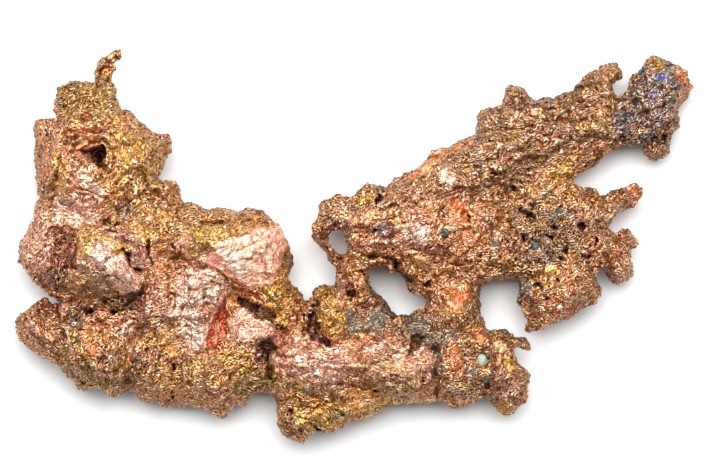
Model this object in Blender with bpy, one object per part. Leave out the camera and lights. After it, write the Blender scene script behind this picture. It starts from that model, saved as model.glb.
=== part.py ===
"""Native copper nugget with a few mineral grains wedged in it, lying on its back.

The copper is one solid. Three crumpled masses - the head, the arm and the wing - are drawn as
outlines seen from above, filled with a fine grid of faces, extruded and raised into domed plates with
named lumps, ridges, slots and pits. Tapered strands add the horn, the spikes and the small loop. A voxel
remesh fuses them, two fields of noise make the surface lumpy, and a cut at the floor leaves the flats
that it rests on. The grains are faceted stones, each in a pocket of its own.

+X runs along the nugget from the head to the wing's tip, +Z is up, the origin is under its middle.
"""
import math

import bmesh
import bpy
import numpy as np
from mathutils import Matrix, Vector
from mathutils.bvhtree import BVHTree

MM = 0.001

# ---- driving sizes, millimetres -------------------------------------------------------------------
LENGTH = 100.0          # head to wing tip
GRID_PITCH = 0.4        # faces of the plates before they are fused
VOXEL = 0.42            # remesh size that fuses the masses
TRIANGLES = 8200        # copper after it is thinned out
FLOOR_CUT = 0.0         # height of the floor plane that flattens the feet
GRAIN_GAP = 0.3         # clearance round each grain in its pocket
SWELL = 0.25            # outward growth that makes up for what the smoothing takes
BROAD_LUMPS = (5.5, 1.8)    # size and height
CRUMPLES = (3.4, 0.8)
SMALL_LUMPS = (1.8, 0.7)

COPPER = ("native copper", (0.62, 0.27, 0.14), 0.32, 1.0)
GREEN = ("green epidote", (0.16, 0.33, 0.20), 0.12, 0.0)
PALE = ("pale blue quartz", (0.55, 0.68, 0.70), 0.15, 0.0)
GREY = ("grey-green host rock", (0.19, 0.22, 0.17), 0.60, 0.0)
DARK_GREEN = ("dark green chlorite", (0.05, 0.10, 0.05), 0.45, 0.0)
WHITE = ("white calcite", (0.75, 0.70, 0.64), 0.40, 0.0)

# ---- outlines seen from above, millimetres, counter-clockwise from the top --------------------------
HEAD_OUTLINE = [
    (-36.8, 25.6), (-38.6, 25.2), (-40.5, 24.8), (-42.0, 24.4), (-43.9, 23.4), (-43.9, 21.4), (-43.8, 18.5),
    (-46.8, 18.3), (-47.3, 17.2), (-46.8, 12.6), (-46.5, 9.9), (-46.2, 7.8), (-47.7, 5.2), (-48.2, 3.1),
    (-49.6, -0.1), (-49.5, -1.7), (-47.9, -4.2), (-45.9, -6.0), (-43.6, -7.7), (-43.9, -9.4), (-45.2, -9.9),
    (-46.2, -9.2), (-45.2, -8.3), (-46.1, -7.6), (-47.9, -9.0), (-48.8, -9.3), (-49.9, -10.8),
    (-49.9, -12.8), (-49.4, -14.0), (-48.1, -15.1), (-46.3, -15.9), (-45.0, -17.1), (-43.4, -17.8),
    (-41.4, -20.0), (-39.9, -21.1), (-39.1, -20.3), (-37.7, -21.4), (-36.2, -22.2), (-35.0, -22.3),
    (-33.4, -20.9), (-32.5, -21.0), (-31.3, -22.5), (-29.3, -22.5), (-28.2, -23.5), (-26.4, -22.5),
    (-24.9, -23.3), (-22.3, -23.6), (-21.3, -25.0), (-20.1, -25.8), (-19.0, -24.8), (-17.8, -22.7),
    (-16.8, -23.1), (-15.6, -22.9), (-14.9, -21.7), (-13.4, -21.3), (-10.5, -21.2), (-9.0, -17.0),
    (-8.2, -13.0), (-7.4, -10.4), (-7.2, -8.1), (-8.9, -6.9), (-9.2, -4.3), (-9.7, -3.5), (-8.5, -2.8),
    (-9.3, -0.6), (-10.1, 1.9), (-10.9, 3.0), (-12.3, 4.2), (-13.7, 5.7), (-15.2, 5.8), (-16.9, 5.2),
    (-18.8, 5.8), (-20.2, 6.0), (-22.2, 5.75), (-24.7, 6.5), (-26.2, 6.4), (-26.6, 8.3), (-26.8, 9.5),
    (-27.6, 9.0), (-29.3, 10.5), (-27.4, 14.4), (-26.8, 15.4), (-27.6, 16.6), (-29.9, 17.0),
    (-30.7, 17.7), (-33.4, 20.0), (-34.9, 20.6), (-35.6, 22.2), (-35.6, 24.5),
]
ARM_OUTLINE = [
    (-5.5, -6.1), (-6.2, -7.4), (-6.9, -8.4), (-9.0, -10.5), (-12.5, -13.0), (-13.5, -17.0), (-12.3, -20.5),
    (-11.9, -22.5), (-11.5, -24.4), (-12.0, -25.6), (-11.5, -26.8), (-10.2, -27.8), (-8.6, -28.2),
    (-6.95, -28.8), (-5.7, -27.0), (-3.7, -27.3), (-2.4, -26.8), (-0.8, -25.6), (1.3, -25.8), (2.9, -25.2),
    (4.6, -23.6), (7.0, -22.9), (9.0, -23.2), (10.9, -23.5), (12.7, -22.8), (14.15, -23.3), (15.8, -23.5),
    (18.5, -22.5), (20.3, -21.6), (21.5, -22.5), (21.3, -23.7), (22.8, -25.2), (23.6, -24.4),
    (24.8, -23.3), (26.1, -22.5), (25.9, -19.6), (25.5, -17.8), (24.0, -16.15), (23.4, -13.8),
    (22.8, -12.05), (22.15, -11.6), (20.7, -12.5), (19.3, -12.3), (19.4, -10.9), (18.7, -8.2),
    (18.4, -6.5), (18.9, -4.5), (17.0, -3.0), (12.0, -4.0), (10.2, -5.6), (10.9, -7.7), (11.1, -8.8),
    (9.0, -9.8), (8.4, -10.6), (7.6, -9.9), (6.15, -9.9), (4.2, -8.2), (2.3, -6.1), (2.15, -4.5),
    (1.4, -3.0), (-1.0, -2.4), (-2.5, -3.4), (-2.05, -4.05), (-2.6, -4.9), (-2.5, -7.3), (-3.0, -7.0),
    (-3.3, -5.7), (-4.5, -5.8),
]
WING_OUTLINE = [
    (-2.6, -2.4), (-2.5, -3.6), (0.0, -4.2), (1.4, -3.85), (2.3, -3.1), (3.9, -2.7), (5.6, -3.8),
    (8.2, -5.1), (9.6, -6.3), (12.5, -7.6), (17.0, -7.0), (19.0, -5.7), (21.7, -5.1), (23.2, -4.5),
    (24.6, -4.3), (24.9, -5.6), (24.9, -7.6), (24.8, -9.0), (25.9, -11.0), (24.8, -12.7), (27.0, -12.5),
    (28.8, -12.05), (30.6, -10.4), (32.4, -10.3), (33.6, -9.5), (35.4, -7.75), (36.5, -6.0),
    (35.2, -5.6), (35.8, -4.2), (37.0, -2.2), (37.9, -3.8), (38.5, -5.0), (39.5, -5.2), (41.9, -4.2),
    (41.9, -3.3), (40.8, -1.1), (41.0, 0.0), (42.0, 0.5), (42.0, 2.2), (40.1, 2.85), (39.0, 1.05),
    (38.0, 2.5), (38.2, 3.9), (40.0, 5.6), (41.4, 5.7), (43.2, 8.1), (42.0, 9.5), (40.5, 9.5),
    (37.7, 7.9), (36.5, 7.6), (35.9, 9.2), (34.0, 9.3), (31.7, 10.0), (33.8, 10.6), (36.1, 12.7),
    (37.7, 14.3), (40.5, 15.3), (42.1, 15.6), (43.7, 15.0), (44.6, 13.2), (46.7, 13.8), (47.2, 17.1),
    (48.9, 18.2), (48.3, 20.3), (49.8, 22.8), (50.1, 24.2), (49.5, 26.2), (48.1, 27.1), (45.1, 27.5),
    (44.8, 28.4), (44.1, 28.2), (43.5, 25.8), (41.3, 24.9), (40.9, 22.4), (39.1, 22.8), (38.7, 24.0),
    (39.9, 25.7), (38.3, 27.2), (36.1, 26.3), (34.2, 24.6), (32.6, 23.5), (31.0, 22.8), (29.8, 22.0),
    (26.6, 22.4), (25.0, 24.1), (23.2, 24.0), (22.0, 21.2), (19.3, 19.8), (17.6, 16.15), (13.4, 14.9),
    (11.3, 14.0), (9.0, 11.6), (6.8, 10.5), (5.5, 10.2), (4.9, 8.6), (2.3, 9.2), (1.0, 9.1), (0.0, 7.3),
    (-1.2, 7.0), (-1.95, 7.85), (-4.9, 6.6), (-4.9, 5.0), (-5.7, 2.7), (-5.95, 1.3), (-4.7, -0.4),
    (-3.4, -2.4),
]
LOOP_HOLE = [(-2.6, 2.9), (-3.5, 2.2), (-3.5, 1.0), (-3.1, -0.2), (-1.85, -0.4), (-0.9, -1.4),
             (-1.2, 0.0), (-1.7, 2.5)]

# ---- relief: (x, y, half length, half width, turn in degrees, height) -------------------------------
HEAD_LUMPS = [
    (-38.3, 12.0, 9.5, 9.0, 0, 3.2),        # the head
    (-44.6, -0.5, 8.5, 4.6, 100, 2.6),      # shoulder, along the left edge
    (-35.6, -2.0, 8.5, 7.0, -40, 6.6),      # block in the middle
    (-41.0, -5.5, 2.6, 2.3, 0, 3.0),        # round lump beside the block
    (-31.0, 12.5, 5.0, 4.5, 30, 1.2),       # head's right cheek
    (-23.5, 2.0, 8.0, 5.0, 0, 3.2),         # saddle
    (-15.5, -0.5, 7.5, 5.5, 25, 2.8),       # smooth plate
    (-22.0, -7.2, 5.0, 4.2, 0, 2.6),        # crumpled bud below the plate
    (-28.5, -8.5, 3.6, 4.5, 20, 2.0),
    (-14.5, -13.0, 4.4, 2.8, -20, 2.4),     # pale lip above the junction
    (-36.2, -17.6, 5.2, 4.0, 0, 2.4),       # lower lobes
    (-28.8, -19.8, 4.0, 3.4, 0, 1.8),
    (-20.5, -19.5, 4.6, 4.4, 0, 2.0),
    (-46.0, -12.4, 4.2, 4.0, 0, 0.8),       # foot
    (-11.0, -5.0, 2.6, 5.5, 0, 1.0),        # golden right edge
]
HEAD_PITS = [
    (-37.7, 13.6, 2.4, 1.8, 60, -5.0),      # deep triangular pit in the head
    (-36.6, 11.8, 0.9, 1.8, 20, -2.0),
    (-39.1, 19.1, 1.3, 1.0, 0, -1.6),
    (-34.9, 3.7, 1.3, 1.0, 0, -2.4),
    (-38.9, -9.6, 1.7, 1.0, 0, -3.0),
    (-35.3, -9.5, 1.2, 1.0, 0, -2.2),
    (-12.7, -14.9, 1.5, 2.2, 0, -4.5),
    (-26.7, -17.7, 1.1, 1.2, 0, -5.0),      # small deep hole
    (-26.9, -21.6, 0.8, 1.2, 0, -2.0),
    (-21.0, 3.6, 2.0, 0.8, 0, -1.6),
]
ARM_LUMPS = [
    (-6.0, -18.0, 6.2, 5.6, 0, 3.4),        # left lump
    (-7.5, -25.6, 4.6, 3.2, -15, 1.6),      # lower lobe
    (-3.0, -10.0, 2.4, 5.4, -8, 4.2),       # upright fin
    (6.0, -17.5, 8.0, 5.4, -12, 3.0),       # middle plate
    (15.6, -8.2, 4.2, 6.0, 0, 2.2),         # leg
    (15.0, -16.4, 1.5, 2.6, 0, 1.4),        # small oval bump
    (22.3, -16.0, 3.6, 5.0, 10, 1.6),       # right end
    (23.4, -21.0, 3.4, 3.6, 0, 1.2),
]
ARM_PITS = [
    (-6.2, -11.6, 1.1, 3.0, 0, -5.5),       # slot between the head and the fin
    (-3.9, -13.6, 1.6, 0.8, -50, -2.5),
    (12.1, -18.5, 0.9, 5.4, 0, -2.6),       # crevice at the plate's right edge
    (9.8, -13.4, 2.0, 1.0, 20, -3.4),       # curved hollow
    (8.5, -15.0, 0.9, 1.8, 0, -2.6),
    (1.0, -22.3, 2.6, 1.3, 0, -1.3),        # smooth oval hollow
    (18.0, -16.6, 3.2, 2.4, 0, -1.6),       # hollow that holds the crystals
    (19.6, -19.8, 1.6, 1.4, 0, -1.6),
]
WING_LUMPS = [
    (3.0, 4.5, 6.5, 6.0, 20, 1.6),
    (13.0, 4.0, 8.5, 8.5, 0, 2.2),
    (21.0, 12.5, 9.0, 4.6, 42, 1.8),        # upper ridge
    (30.0, 17.5, 8.0, 4.0, 30, 1.4),
    (29.0, 1.5, 6.5, 6.5, 0, 1.2),
    (30.0, -7.2, 5.6, 4.2, 10, 1.6),        # lower lobe
    (45.6, 22.0, 4.2, 5.6, 20, 1.6),        # curled tip
    (39.8, 7.0, 3.4, 1.8, 35, 1.0),         # spur
    (39.6, -2.0, 2.2, 3.6, -10, 1.4),       # tooth
]
WING_PITS = [
    (25.9, 4.1, 1.2, 0.9, 0, -2.6), (25.4, 1.2, 1.0, 0.8, 0, -2.2), (28.6, 1.2, 0.9, 0.9, 0, -2.2),
    (29.7, 3.2, 1.0, 0.8, 30, -2.0), (33.6, 3.2, 1.1, 1.0, 0, -2.4), (31.3, -0.2, 0.9, 0.8, 0, -2.0),
    (34.3, -1.3, 1.0, 0.8, 0, -2.2), (23.7, 9.0, 0.9, 0.8, 0, -2.0), (22.8, 7.4, 0.8, 0.7, 0, -1.8),
    (20.5, 10.7, 0.8, 0.7, 0, -1.8), (34.5, 12.3, 0.8, 0.7, 0, -1.5), (28.7, -7.3, 1.1, 0.9, 0, -2.8),
    (16.8, 4.2, 0.6, 1.3, 0, -1.8), (3.7, 6.8, 0.8, 0.6, 0, -1.8), (21.5, 3.0, 2.4, 1.4, 60, -1.2),
]
# ---- ridges and slots that follow a line: (points, half width, height) -------------------------------
HEAD_LINES = [
    ([(-44.0, 10.0), (-43.6, 15.0), (-41.0, 18.3), (-37.4, 18.8), (-33.6, 16.6)], 1.5, 1.6),   # outer fold
    ([(-41.5, 9.5), (-41.2, 13.0), (-39.6, 15.8), (-36.6, 16.2)], 1.1, 1.1),                   # inner fold
    ([(-38.0, 0.0), (-34.6, -2.6), (-31.0, -6.0)], 1.5, 1.7),                                 # block's ridge
    ([(-43.6, 1.5), (-42.6, -3.0), (-41.4, -7.6)], 1.5, -3.4),                                # valley
    ([(-33.3, -0.2), (-32.4, -2.0), (-31.1, -3.7)], 0.7, -2.4),                               # cracks
    ([(-29.9, 1.1), (-30.3, -1.0), (-29.7, -2.6)], 0.7, -2.4),
    ([(-30.5, -11.6), (-33.0, -14.5), (-33.6, -18.6), (-33.2, -20.6)], 1.1, -2.6),            # lobes' groove
    ([(-23.4, -2.8), (-20.5, -2.6), (-18.0, -4.7), (-17.4, -7.0)], 0.8, -1.6),                # arch crease
    ([(-18.8, -7.5), (-20.1, -10.2), (-20.6, -15.0)], 1.4, -3.2),                             # red wedge
    ([(-17.2, -7.5), (-14.5, -9.3), (-11.6, -10.5)], 0.9, -4.2),                              # dark slot
    ([(-25.2, -3.0), (-25.6, -8.0), (-24.6, -14.0)], 0.9, -1.6),
    ([(-30.0, 6.6), (-32.6, 6.2), (-38.0, 5.4), (-42.4, 4.4)], 1.4, -2.0),                    # below the head
]
ARM_LINES = [
    ([(-10.0, -17.0), (-4.0, -16.2), (2.0, -17.8), (9.0, -20.8)], 1.2, 1.2),                  # flow folds
    ([(-6.0, -20.6), (1.0, -20.4), (8.0, -22.0)], 0.9, -1.3),
    ([(13.4, -12.4), (17.0, -11.6), (20.6, -13.4)], 1.0, -1.2),
]
WING_LINES = [
    ([(12.0, 9.6), (18.0, 14.6), (24.0, 19.4), (31.0, 20.6)], 1.6, 1.3),                      # upper ridge
    ([(19.0, 9.6), (25.0, 13.4), (33.0, 16.6), (40.0, 19.0)], 1.2, 1.1),
    ([(6.0, 4.0), (11.0, 1.0), (17.0, -2.0), (22.0, -2.4)], 1.5, 1.2),
    ([(5.0, -0.8), (9.0, -2.6), (12.5, -5.2)], 0.9, -1.2),
    ([(22.4, -1.2), (22.0, 4.0), (25.0, 7.6)], 1.0, -1.2),
]
# ---- strands: (x, y, z, radius) along each, millimetres ----------------------------------------------
STRANDS = [
    [(-37.0, 22.5, 7.0, 2.2), (-36.9, 24.6, 7.6, 1.6), (-36.8, 26.0, 8.2, 2.0), (-36.7, 27.2, 8.6, 1.5),
     (-35.8, 28.0, 9.0, 1.05), (-34.5, 29.3, 9.4, 0.8)],                                      # horn
    [(-38.9, 26.3, 8.2, 0.9), (-37.2, 26.3, 8.2, 1.6), (-35.1, 26.0, 8.2, 0.9)],              # horn's knob
    [(-28.4, 8.0, 5.5, 1.0), (-27.0, 9.4, 5.8, 0.5)],                                         # spike
    [(-43.6, -9.6, 4.2, 1.2), (-45.0, -8.8, 4.4, 0.6)],                                       # hook
    [(-41.4, -19.0, 3.6, 1.0), (-40.1, -20.8, 3.4, 0.5)],
    [(-20.2, -22.6, 3.8, 1.6), (-20.2, -24.4, 3.6, 1.3)],                                     # lower knob
    [(22.6, -14.0, 5.4, 0.9), (24.3, -14.1, 5.6, 0.8), (25.4, -14.1, 5.8, 1.3), (26.4, -14.1, 5.8, 0.9)],
    [(19.0, -11.6, 5.0, 0.8), (19.8, -10.5, 5.4, 0.45)],
    [(25.6, -8.6, 4.6, 0.8), (24.3, -8.1, 4.8, 0.45)],
    [(-0.6, -2.6, 6.6, 1.7), (0.0, -4.6, 6.6, 1.9), (-0.2, -6.8, 6.8, 1.9), (-0.8, -9.0, 6.6, 2.0)],  # neck
    [(-2.6, -2.0, 6.0, 0.8), (-4.3, 0.0, 5.8, 0.9), (-4.8, 2.4, 5.6, 0.9), (-3.4, 4.4, 6.0, 1.2)],    # loop
    [(-1.2, 2.8, 6.2, 0.9), (-0.4, 0.2, 6.6, 0.8), (-0.4, -1.8, 6.6, 1.0)],
    [(40.0, 7.2, 4.8, 1.2), (42.0, 8.4, 5.2, 0.7)],                                           # spur's tip
    [(43.9, 26.0, 4.6, 1.0), (44.3, 28.0, 5.6, 0.55)],                                        # tip's barb
    [(39.0, 24.6, 4.6, 0.9), (39.2, 26.0, 5.0, 0.7)],
    [(20.8, -21.0, 4.2, 1.2), (22.4, -24.2, 3.8, 0.8)],
    [(43.9, 15.4, 3.0, 1.0), (45.6, 13.8, 2.6, 0.8)],
]
# ---- feet: (x, y, half width) where the underside reaches the floor -----------------------------------
FEET = [
    (-35.0, -8.0, 8.0), (-38.0, 10.0, 6.5), (-19.0, -12.0, 7.0), (-5.0, -22.0, 6.0), (21.5, -19.0, 5.0),
    (14.0, -12.0, 5.0), (29.5, -2.0, 6.0), (45.4, 20.5, 4.5),
]
# ---- grains: node, x, y, half length, half width, turn, how deep its middle sits, stretch up, finish ---
GRAINS = [
    ("green_crystal", 19.0, -16.6, 1.35, 1.15, 70, 0.35, 1.0, GREEN),
    ("pale_crystal", 16.7, -16.5, 0.75, 0.62, 40, 0.20, 1.1, PALE),
    ("grey_grain_arm_upper", 12.4, -15.9, 0.70, 0.60, 10, 0.20, 0.9, GREY),
    ("grey_grain_arm_lower", 13.2, -18.0, 0.70, 0.58, 50, 0.20, 0.9, GREY),
    ("dark_green_grain", 19.6, -19.8, 0.75, 0.62, 20, 0.20, 0.9, DARK_GREEN),
    ("grey_grain_wing_left", 13.3, 2.3, 0.90, 0.75, 35, 0.30, 0.9, GREY),
    ("grey_grain_wing_middle", 20.9, 0.5, 0.70, 0.58, 0, 0.25, 0.9, GREY),
    ("grey_grain_wing_pitted", 26.8, 0.3, 0.90, 0.72, 65, 0.30, 0.9, GREY),
    ("grey_grain_wing_right", 30.4, 5.4, 0.75, 0.62, 20, 0.25, 0.9, GREY),
    ("white_grain", 30.3, -8.7, 0.55, 0.48, 15, 0.12, 1.0, WHITE),
]


# ---- plan geometry ----------------------------------------------------------------------------------
def inside(points, outline):
    """Which points (n x 2) lie inside a closed outline."""
    x, y = points[:, 0], points[:, 1]
    hits = np.zeros(len(points), dtype=bool)
    for (x0, y0), (x1, y1) in zip(outline, outline[1:] + outline[:1]):
        if y0 == y1:
            continue
        crosses = (y0 > y) != (y1 > y)
        hits ^= crosses & (x < (x1 - x0) * (y - y0) / (y1 - y0) + x0)
    return hits


def nearest_on_line(points, line, closed=False):
    """Distance from each point to a line of points, and the nearest place on it."""
    best = np.full(len(points), np.inf)
    place = points.copy()
    ends = line[1:] + line[:1] if closed else line[1:]
    for start, end in zip(line, ends):
        a, b = np.array(start), np.array(end)
        along = np.clip((points - a) @ (b - a) / np.dot(b - a, b - a), 0, 1)
        foot = a + along[:, None] * (b - a)
        distance = np.linalg.norm(points - foot, axis=1)
        nearer = distance < best
        best[nearer], place[nearer] = distance[nearer], foot[nearer]
    return best, place


def oval(points, x, y, half_length, half_width, turn):
    """1 in the middle of an oval, falling smoothly to 0 at its edge."""
    c, s = math.cos(math.radians(turn)), math.sin(math.radians(turn))
    dx, dy = points[:, 0] - x, points[:, 1] - y
    u, v = (c * dx + s * dy) / half_length, (c * dy - s * dx) / half_width
    return np.clip(1 - u * u - v * v, 0, 1) ** 1.5


def relief(points, ovals, lines):
    """Height that the named lumps, pits, ridges and slots add."""
    height = np.zeros(len(points))
    for x, y, half_length, half_width, turn, rise in ovals:
        height += rise * oval(points, x, y, half_length, half_width, turn)
    for line, half_width, rise in lines:
        distance, _ = nearest_on_line(points, line)
        height += rise * np.clip(1 - (distance / half_width) ** 2, 0, 1) ** 1.5
    return height


def ramp(values, knots, heights):
    """Heights read along knots, with a smooth turn at each."""
    return np.interp(values, knots, heights)


# ---- masses: a domed plate over each outline ----------------------------------------------------------
def plate(shape, outline, holes, rim, top, middle, under):
    """Add a closed plate to the bmesh. top, middle and under give its heights over the plan, and its
    edge rounds from middle to the full heights within rim of the outline."""
    low, high = np.min(outline, axis=0), np.max(outline, axis=0)
    columns, rows = (int(n) + 1 for n in np.ceil((high - low) / GRID_PITCH))
    corner = {}
    faces = []
    centres = np.array([(low[0] + (i + 0.5) * GRID_PITCH, low[1] + (j + 0.5) * GRID_PITCH)
                        for j in range(rows) for i in range(columns)])
    keep = inside(centres, outline)
    for hole in holes:
        keep &= ~inside(centres, hole)
    for cell in np.flatnonzero(keep):
        j, i = divmod(int(cell), columns)
        ring = [(i, j), (i + 1, j), (i + 1, j + 1), (i, j + 1)]
        for key in ring:
            if key not in corner:
                corner[key] = shape.verts.new((low[0] + key[0] * GRID_PITCH, low[1] + key[1] * GRID_PITCH, 0))
        faces.append(shape.faces.new([corner[key] for key in ring]))
    sheet = list(corner.values())
    plan = np.array([v.co[:2] for v in sheet])
    distance, place = nearest_on_line(plan, outline, closed=True)
    for hole in holes:
        hole_distance, hole_place = nearest_on_line(plan, hole, closed=True)
        nearer = hole_distance < distance
        distance[nearer], place[nearer] = hole_distance[nearer], hole_place[nearer]
    edge = np.array([v.is_boundary for v in sheet])
    plan[edge], distance[edge] = place[edge], 0.0
    round_off = np.sqrt(1 - (1 - np.clip(distance / rim, 0, 1)) ** 2)
    floor, roof, waist = under(plan), top(plan), middle(plan)
    lower = waist + (floor - waist) * round_off - 0.3
    upper = waist + (roof - waist) * round_off + 0.3
    extruded = bmesh.ops.extrude_face_region(shape, geom=faces)["geom"]
    lifted = [g for g in extruded if isinstance(g, bmesh.types.BMVert)]
    twin = {(round(v.co.x, 4), round(v.co.y, 4)): v for v in lifted}
    for n, vert in enumerate(sheet):
        mate = twin[(round(vert.co.x, 4), round(vert.co.y, 4))]
        vert.co = (plan[n, 0], plan[n, 1], lower[n])
        mate.co = (plan[n, 0], plan[n, 1], upper[n])


def feet(points, base):
    """The underside: base high, and down to just below the floor at each foot."""
    height = base.copy()
    for x, y, half_width in FEET:
        height -= (base + 0.3) * oval(points, x, y, half_width, half_width, 0)
    return height


def head_mass(shape):
    def top(points):
        return 8.6 + relief(points, HEAD_LUMPS + HEAD_PITS, HEAD_LINES)

    def middle(points):
        return ramp(points[:, 1], (-26, -14, 0, 16, 27), (3.8, 4.2, 4.6, 5.4, 7.4))

    def under(points):
        return feet(points, np.full(len(points), 1.6))

    plate(shape, HEAD_OUTLINE, [], 4.2, top, middle, under)


def arm_mass(shape):
    def top(points):
        return 7.6 + relief(points, ARM_LUMPS + ARM_PITS, ARM_LINES)

    def middle(points):
        return np.full(len(points), 4.4)

    def under(points):
        return feet(points, ramp(points[:, 1], (-28, -12, -4), (1.6, 1.8, 3.0)))

    plate(shape, ARM_OUTLINE, [], 3.4, top, middle, under)


def wing_mass(shape):
    def middle(points):
        return ramp(points[:, 0], (-6, 12, 30, 40, 50), (6.0, 6.4, 5.4, 4.4, 3.0))

    def top(points):
        return middle(points) + 1.9 + relief(points, WING_LUMPS + WING_PITS, WING_LINES)

    def under(points):
        return feet(points, middle(points) - 2.4)

    plate(shape, WING_OUTLINE, [LOOP_HOLE], 2.4, top, middle, under)


def strands(shape):
    """Tapered strands with closed ends, each a curve with a radius at every point."""
    for points in STRANDS:
        curve = bpy.data.curves.new("strand", "CURVE")
        curve.dimensions = "3D"
        curve.bevel_depth = 1.0
        curve.bevel_resolution = 2
        curve.use_fill_caps = True
        spline = curve.splines.new("POLY")
        spline.points.add(len(points) - 1)
        for point, (x, y, z, radius) in zip(spline.points, points):
            point.co = (x, y, z, 1)
            point.radius = radius
        holder = bpy.data.objects.new("strand", curve)
        mesh = bpy.data.meshes.new_from_object(holder)
        shape.from_mesh(mesh)
        bpy.data.objects.remove(holder)
        bpy.data.curves.remove(curve)
        bpy.data.meshes.remove(mesh)


# ---- objects --------------------------------------------------------------------------------------------
def finish(name, colour, roughness, metallic):
    material = bpy.data.materials.new(name)
    material.use_nodes = True
    principled = material.node_tree.nodes["Principled BSDF"]
    principled.inputs["Base Color"].default_value = (*colour, 1)
    principled.inputs["Roughness"].default_value = roughness
    principled.inputs["Metallic"].default_value = metallic
    return material


def add_object(name, shape, material=None):
    """Link a bmesh drawn in millimetres as an object in metres."""
    bmesh.ops.scale(shape, verts=shape.verts, vec=(MM, MM, MM))
    bmesh.ops.recalc_face_normals(shape, faces=shape.faces)
    mesh = bpy.data.meshes.new(name)
    shape.to_mesh(mesh)
    shape.free()
    if material:
        mesh.materials.append(material)
    holder = bpy.data.objects.new(name, mesh)
    bpy.context.collection.objects.link(holder)
    return holder


def as_cutter(holder):
    holder.hide_render = True
    holder.display_type = "WIRE"


def cut(holder, cutter, name):
    boolean = holder.modifiers.new(name, "BOOLEAN")
    boolean.operation = "DIFFERENCE"
    boolean.solver = "EXACT"
    boolean.object = cutter


def push_out(holder, name, height, texture=None, level=0.0):
    """Move the surface out by up to height, where the texture is above level."""
    displace = holder.modifiers.new(name, "DISPLACE")
    displace.texture = texture
    displace.strength = height * MM
    displace.mid_level = level


def clouds(name, size, basis):
    texture = bpy.data.textures.new(name, "CLOUDS")
    texture.noise_scale = size * MM
    texture.noise_depth = 2
    texture.noise_basis = basis
    return texture


def creases(name, size):
    texture = bpy.data.textures.new(name, "MUSGRAVE")
    texture.musgrave_type = "RIDGED_MULTIFRACTAL"
    texture.noise_scale = size * MM
    texture.octaves = 2.0
    return texture


def evaluated(holder):
    graph = bpy.context.evaluated_depsgraph_get()
    return bpy.data.meshes.new_from_object(holder.evaluated_get(graph))


def copper_nugget():
    shape = bmesh.new()
    head_mass(shape)
    arm_mass(shape)
    wing_mass(shape)
    strands(shape)
    nugget = add_object("copper_nugget", shape, finish(*COPPER))
    fuse = nugget.modifiers.new("fuse the masses", "REMESH")
    fuse.mode = "VOXEL"
    fuse.voxel_size = VOXEL * MM
    soften = nugget.modifiers.new("soften the joins", "SMOOTH")
    soften.factor = 0.5
    soften.iterations = 2
    push_out(nugget, "swell", SWELL)
    size, height = BROAD_LUMPS
    push_out(nugget, "broad lumps", height, clouds("broad lumps", size, "BLENDER_ORIGINAL"), 0.5)
    size, height = CRUMPLES
    push_out(nugget, "crumples", height, creases("crumples", size), 1.0)
    size, height = SMALL_LUMPS
    push_out(nugget, "small lumps", height, clouds("small lumps", size, "VORONOI_F2_F1"), 0.35)
    refuse = nugget.modifiers.new("close the folds", "REMESH")
    refuse.mode = "VOXEL"
    refuse.voxel_size = VOXEL * MM
    full = evaluated(nugget)
    full.calc_loop_triangles()
    thin_out = nugget.modifiers.new("thin out", "DECIMATE")
    thin_out.ratio = TRIANGLES / len(full.loop_triangles)
    bpy.data.meshes.remove(full)
    return nugget


def floor_cutter():
    shape = bmesh.new()
    depth = 20.0
    at = Matrix.Translation((0, 0, FLOOR_CUT - depth / 2)) @ Matrix.Diagonal((1.4 * LENGTH, LENGTH, depth, 1))
    bmesh.ops.create_cube(shape, size=1.0, matrix=at)
    cutter = add_object("floor_cutter", shape)
    as_cutter(cutter)
    return cutter


def grain(shape, half_length, half_width, half_height, turn, extra):
    """A stone with a few flat faces: a round with its corners pushed in along fixed directions."""
    detail = 2 if half_length > 1.0 else 1
    ball = bmesh.ops.create_icosphere(shape, subdivisions=detail, radius=1.0)["verts"]
    cuts = [Vector((math.cos(a), math.sin(a), 0.55 * math.cos(2.3 * a))).normalized()
            for a in (0.3, 1.25, 2.4, 3.3, 4.5, 5.4)] + [Vector((0.15, 0.1, 0.98)).normalized()]
    for vert in ball:
        for direction in cuts:
            over = vert.co.dot(direction) - 0.84
            if over > 0:
                vert.co -= over * direction
    size = Matrix.Diagonal((half_length + extra, half_width + extra, half_height + extra, 1))
    bmesh.ops.transform(shape, matrix=Matrix.Rotation(math.radians(turn), 4, "Z") @ size, verts=ball)
    return ball


def grains(nugget):
    """Every grain on the copper's surface, and one cutter for all their pockets."""
    mesh = evaluated(nugget)
    surface = BVHTree.FromPolygons([v.co.copy() for v in mesh.vertices], [p.vertices[:] for p in mesh.polygons])
    bpy.data.meshes.remove(mesh)
    materials = {}
    stones = []
    pockets = bmesh.new()
    for name, x, y, half_length, half_width, turn, sunk, stretch, look in GRAINS:
        hit, _, _, _ = surface.ray_cast(Vector((x * MM, y * MM, 0.05)), Vector((0, 0, -1)))
        place = Matrix.Translation((x, y, hit.z / MM - sunk))
        half_height = half_width * stretch
        shape = bmesh.new()
        ball = grain(shape, half_length, half_width, half_height, turn, 0)
        bmesh.ops.transform(shape, matrix=place, verts=ball)
        if look[0] not in materials:
            materials[look[0]] = finish(*look)
        stones.append(add_object(name, shape, materials[look[0]]))
        ball = grain(pockets, half_length, half_width, half_height, turn, GRAIN_GAP)
        bmesh.ops.transform(pockets, matrix=place, verts=ball)
    cutter = add_object("pocket_cutter", pockets)
    as_cutter(cutter)
    return stones, cutter


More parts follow.
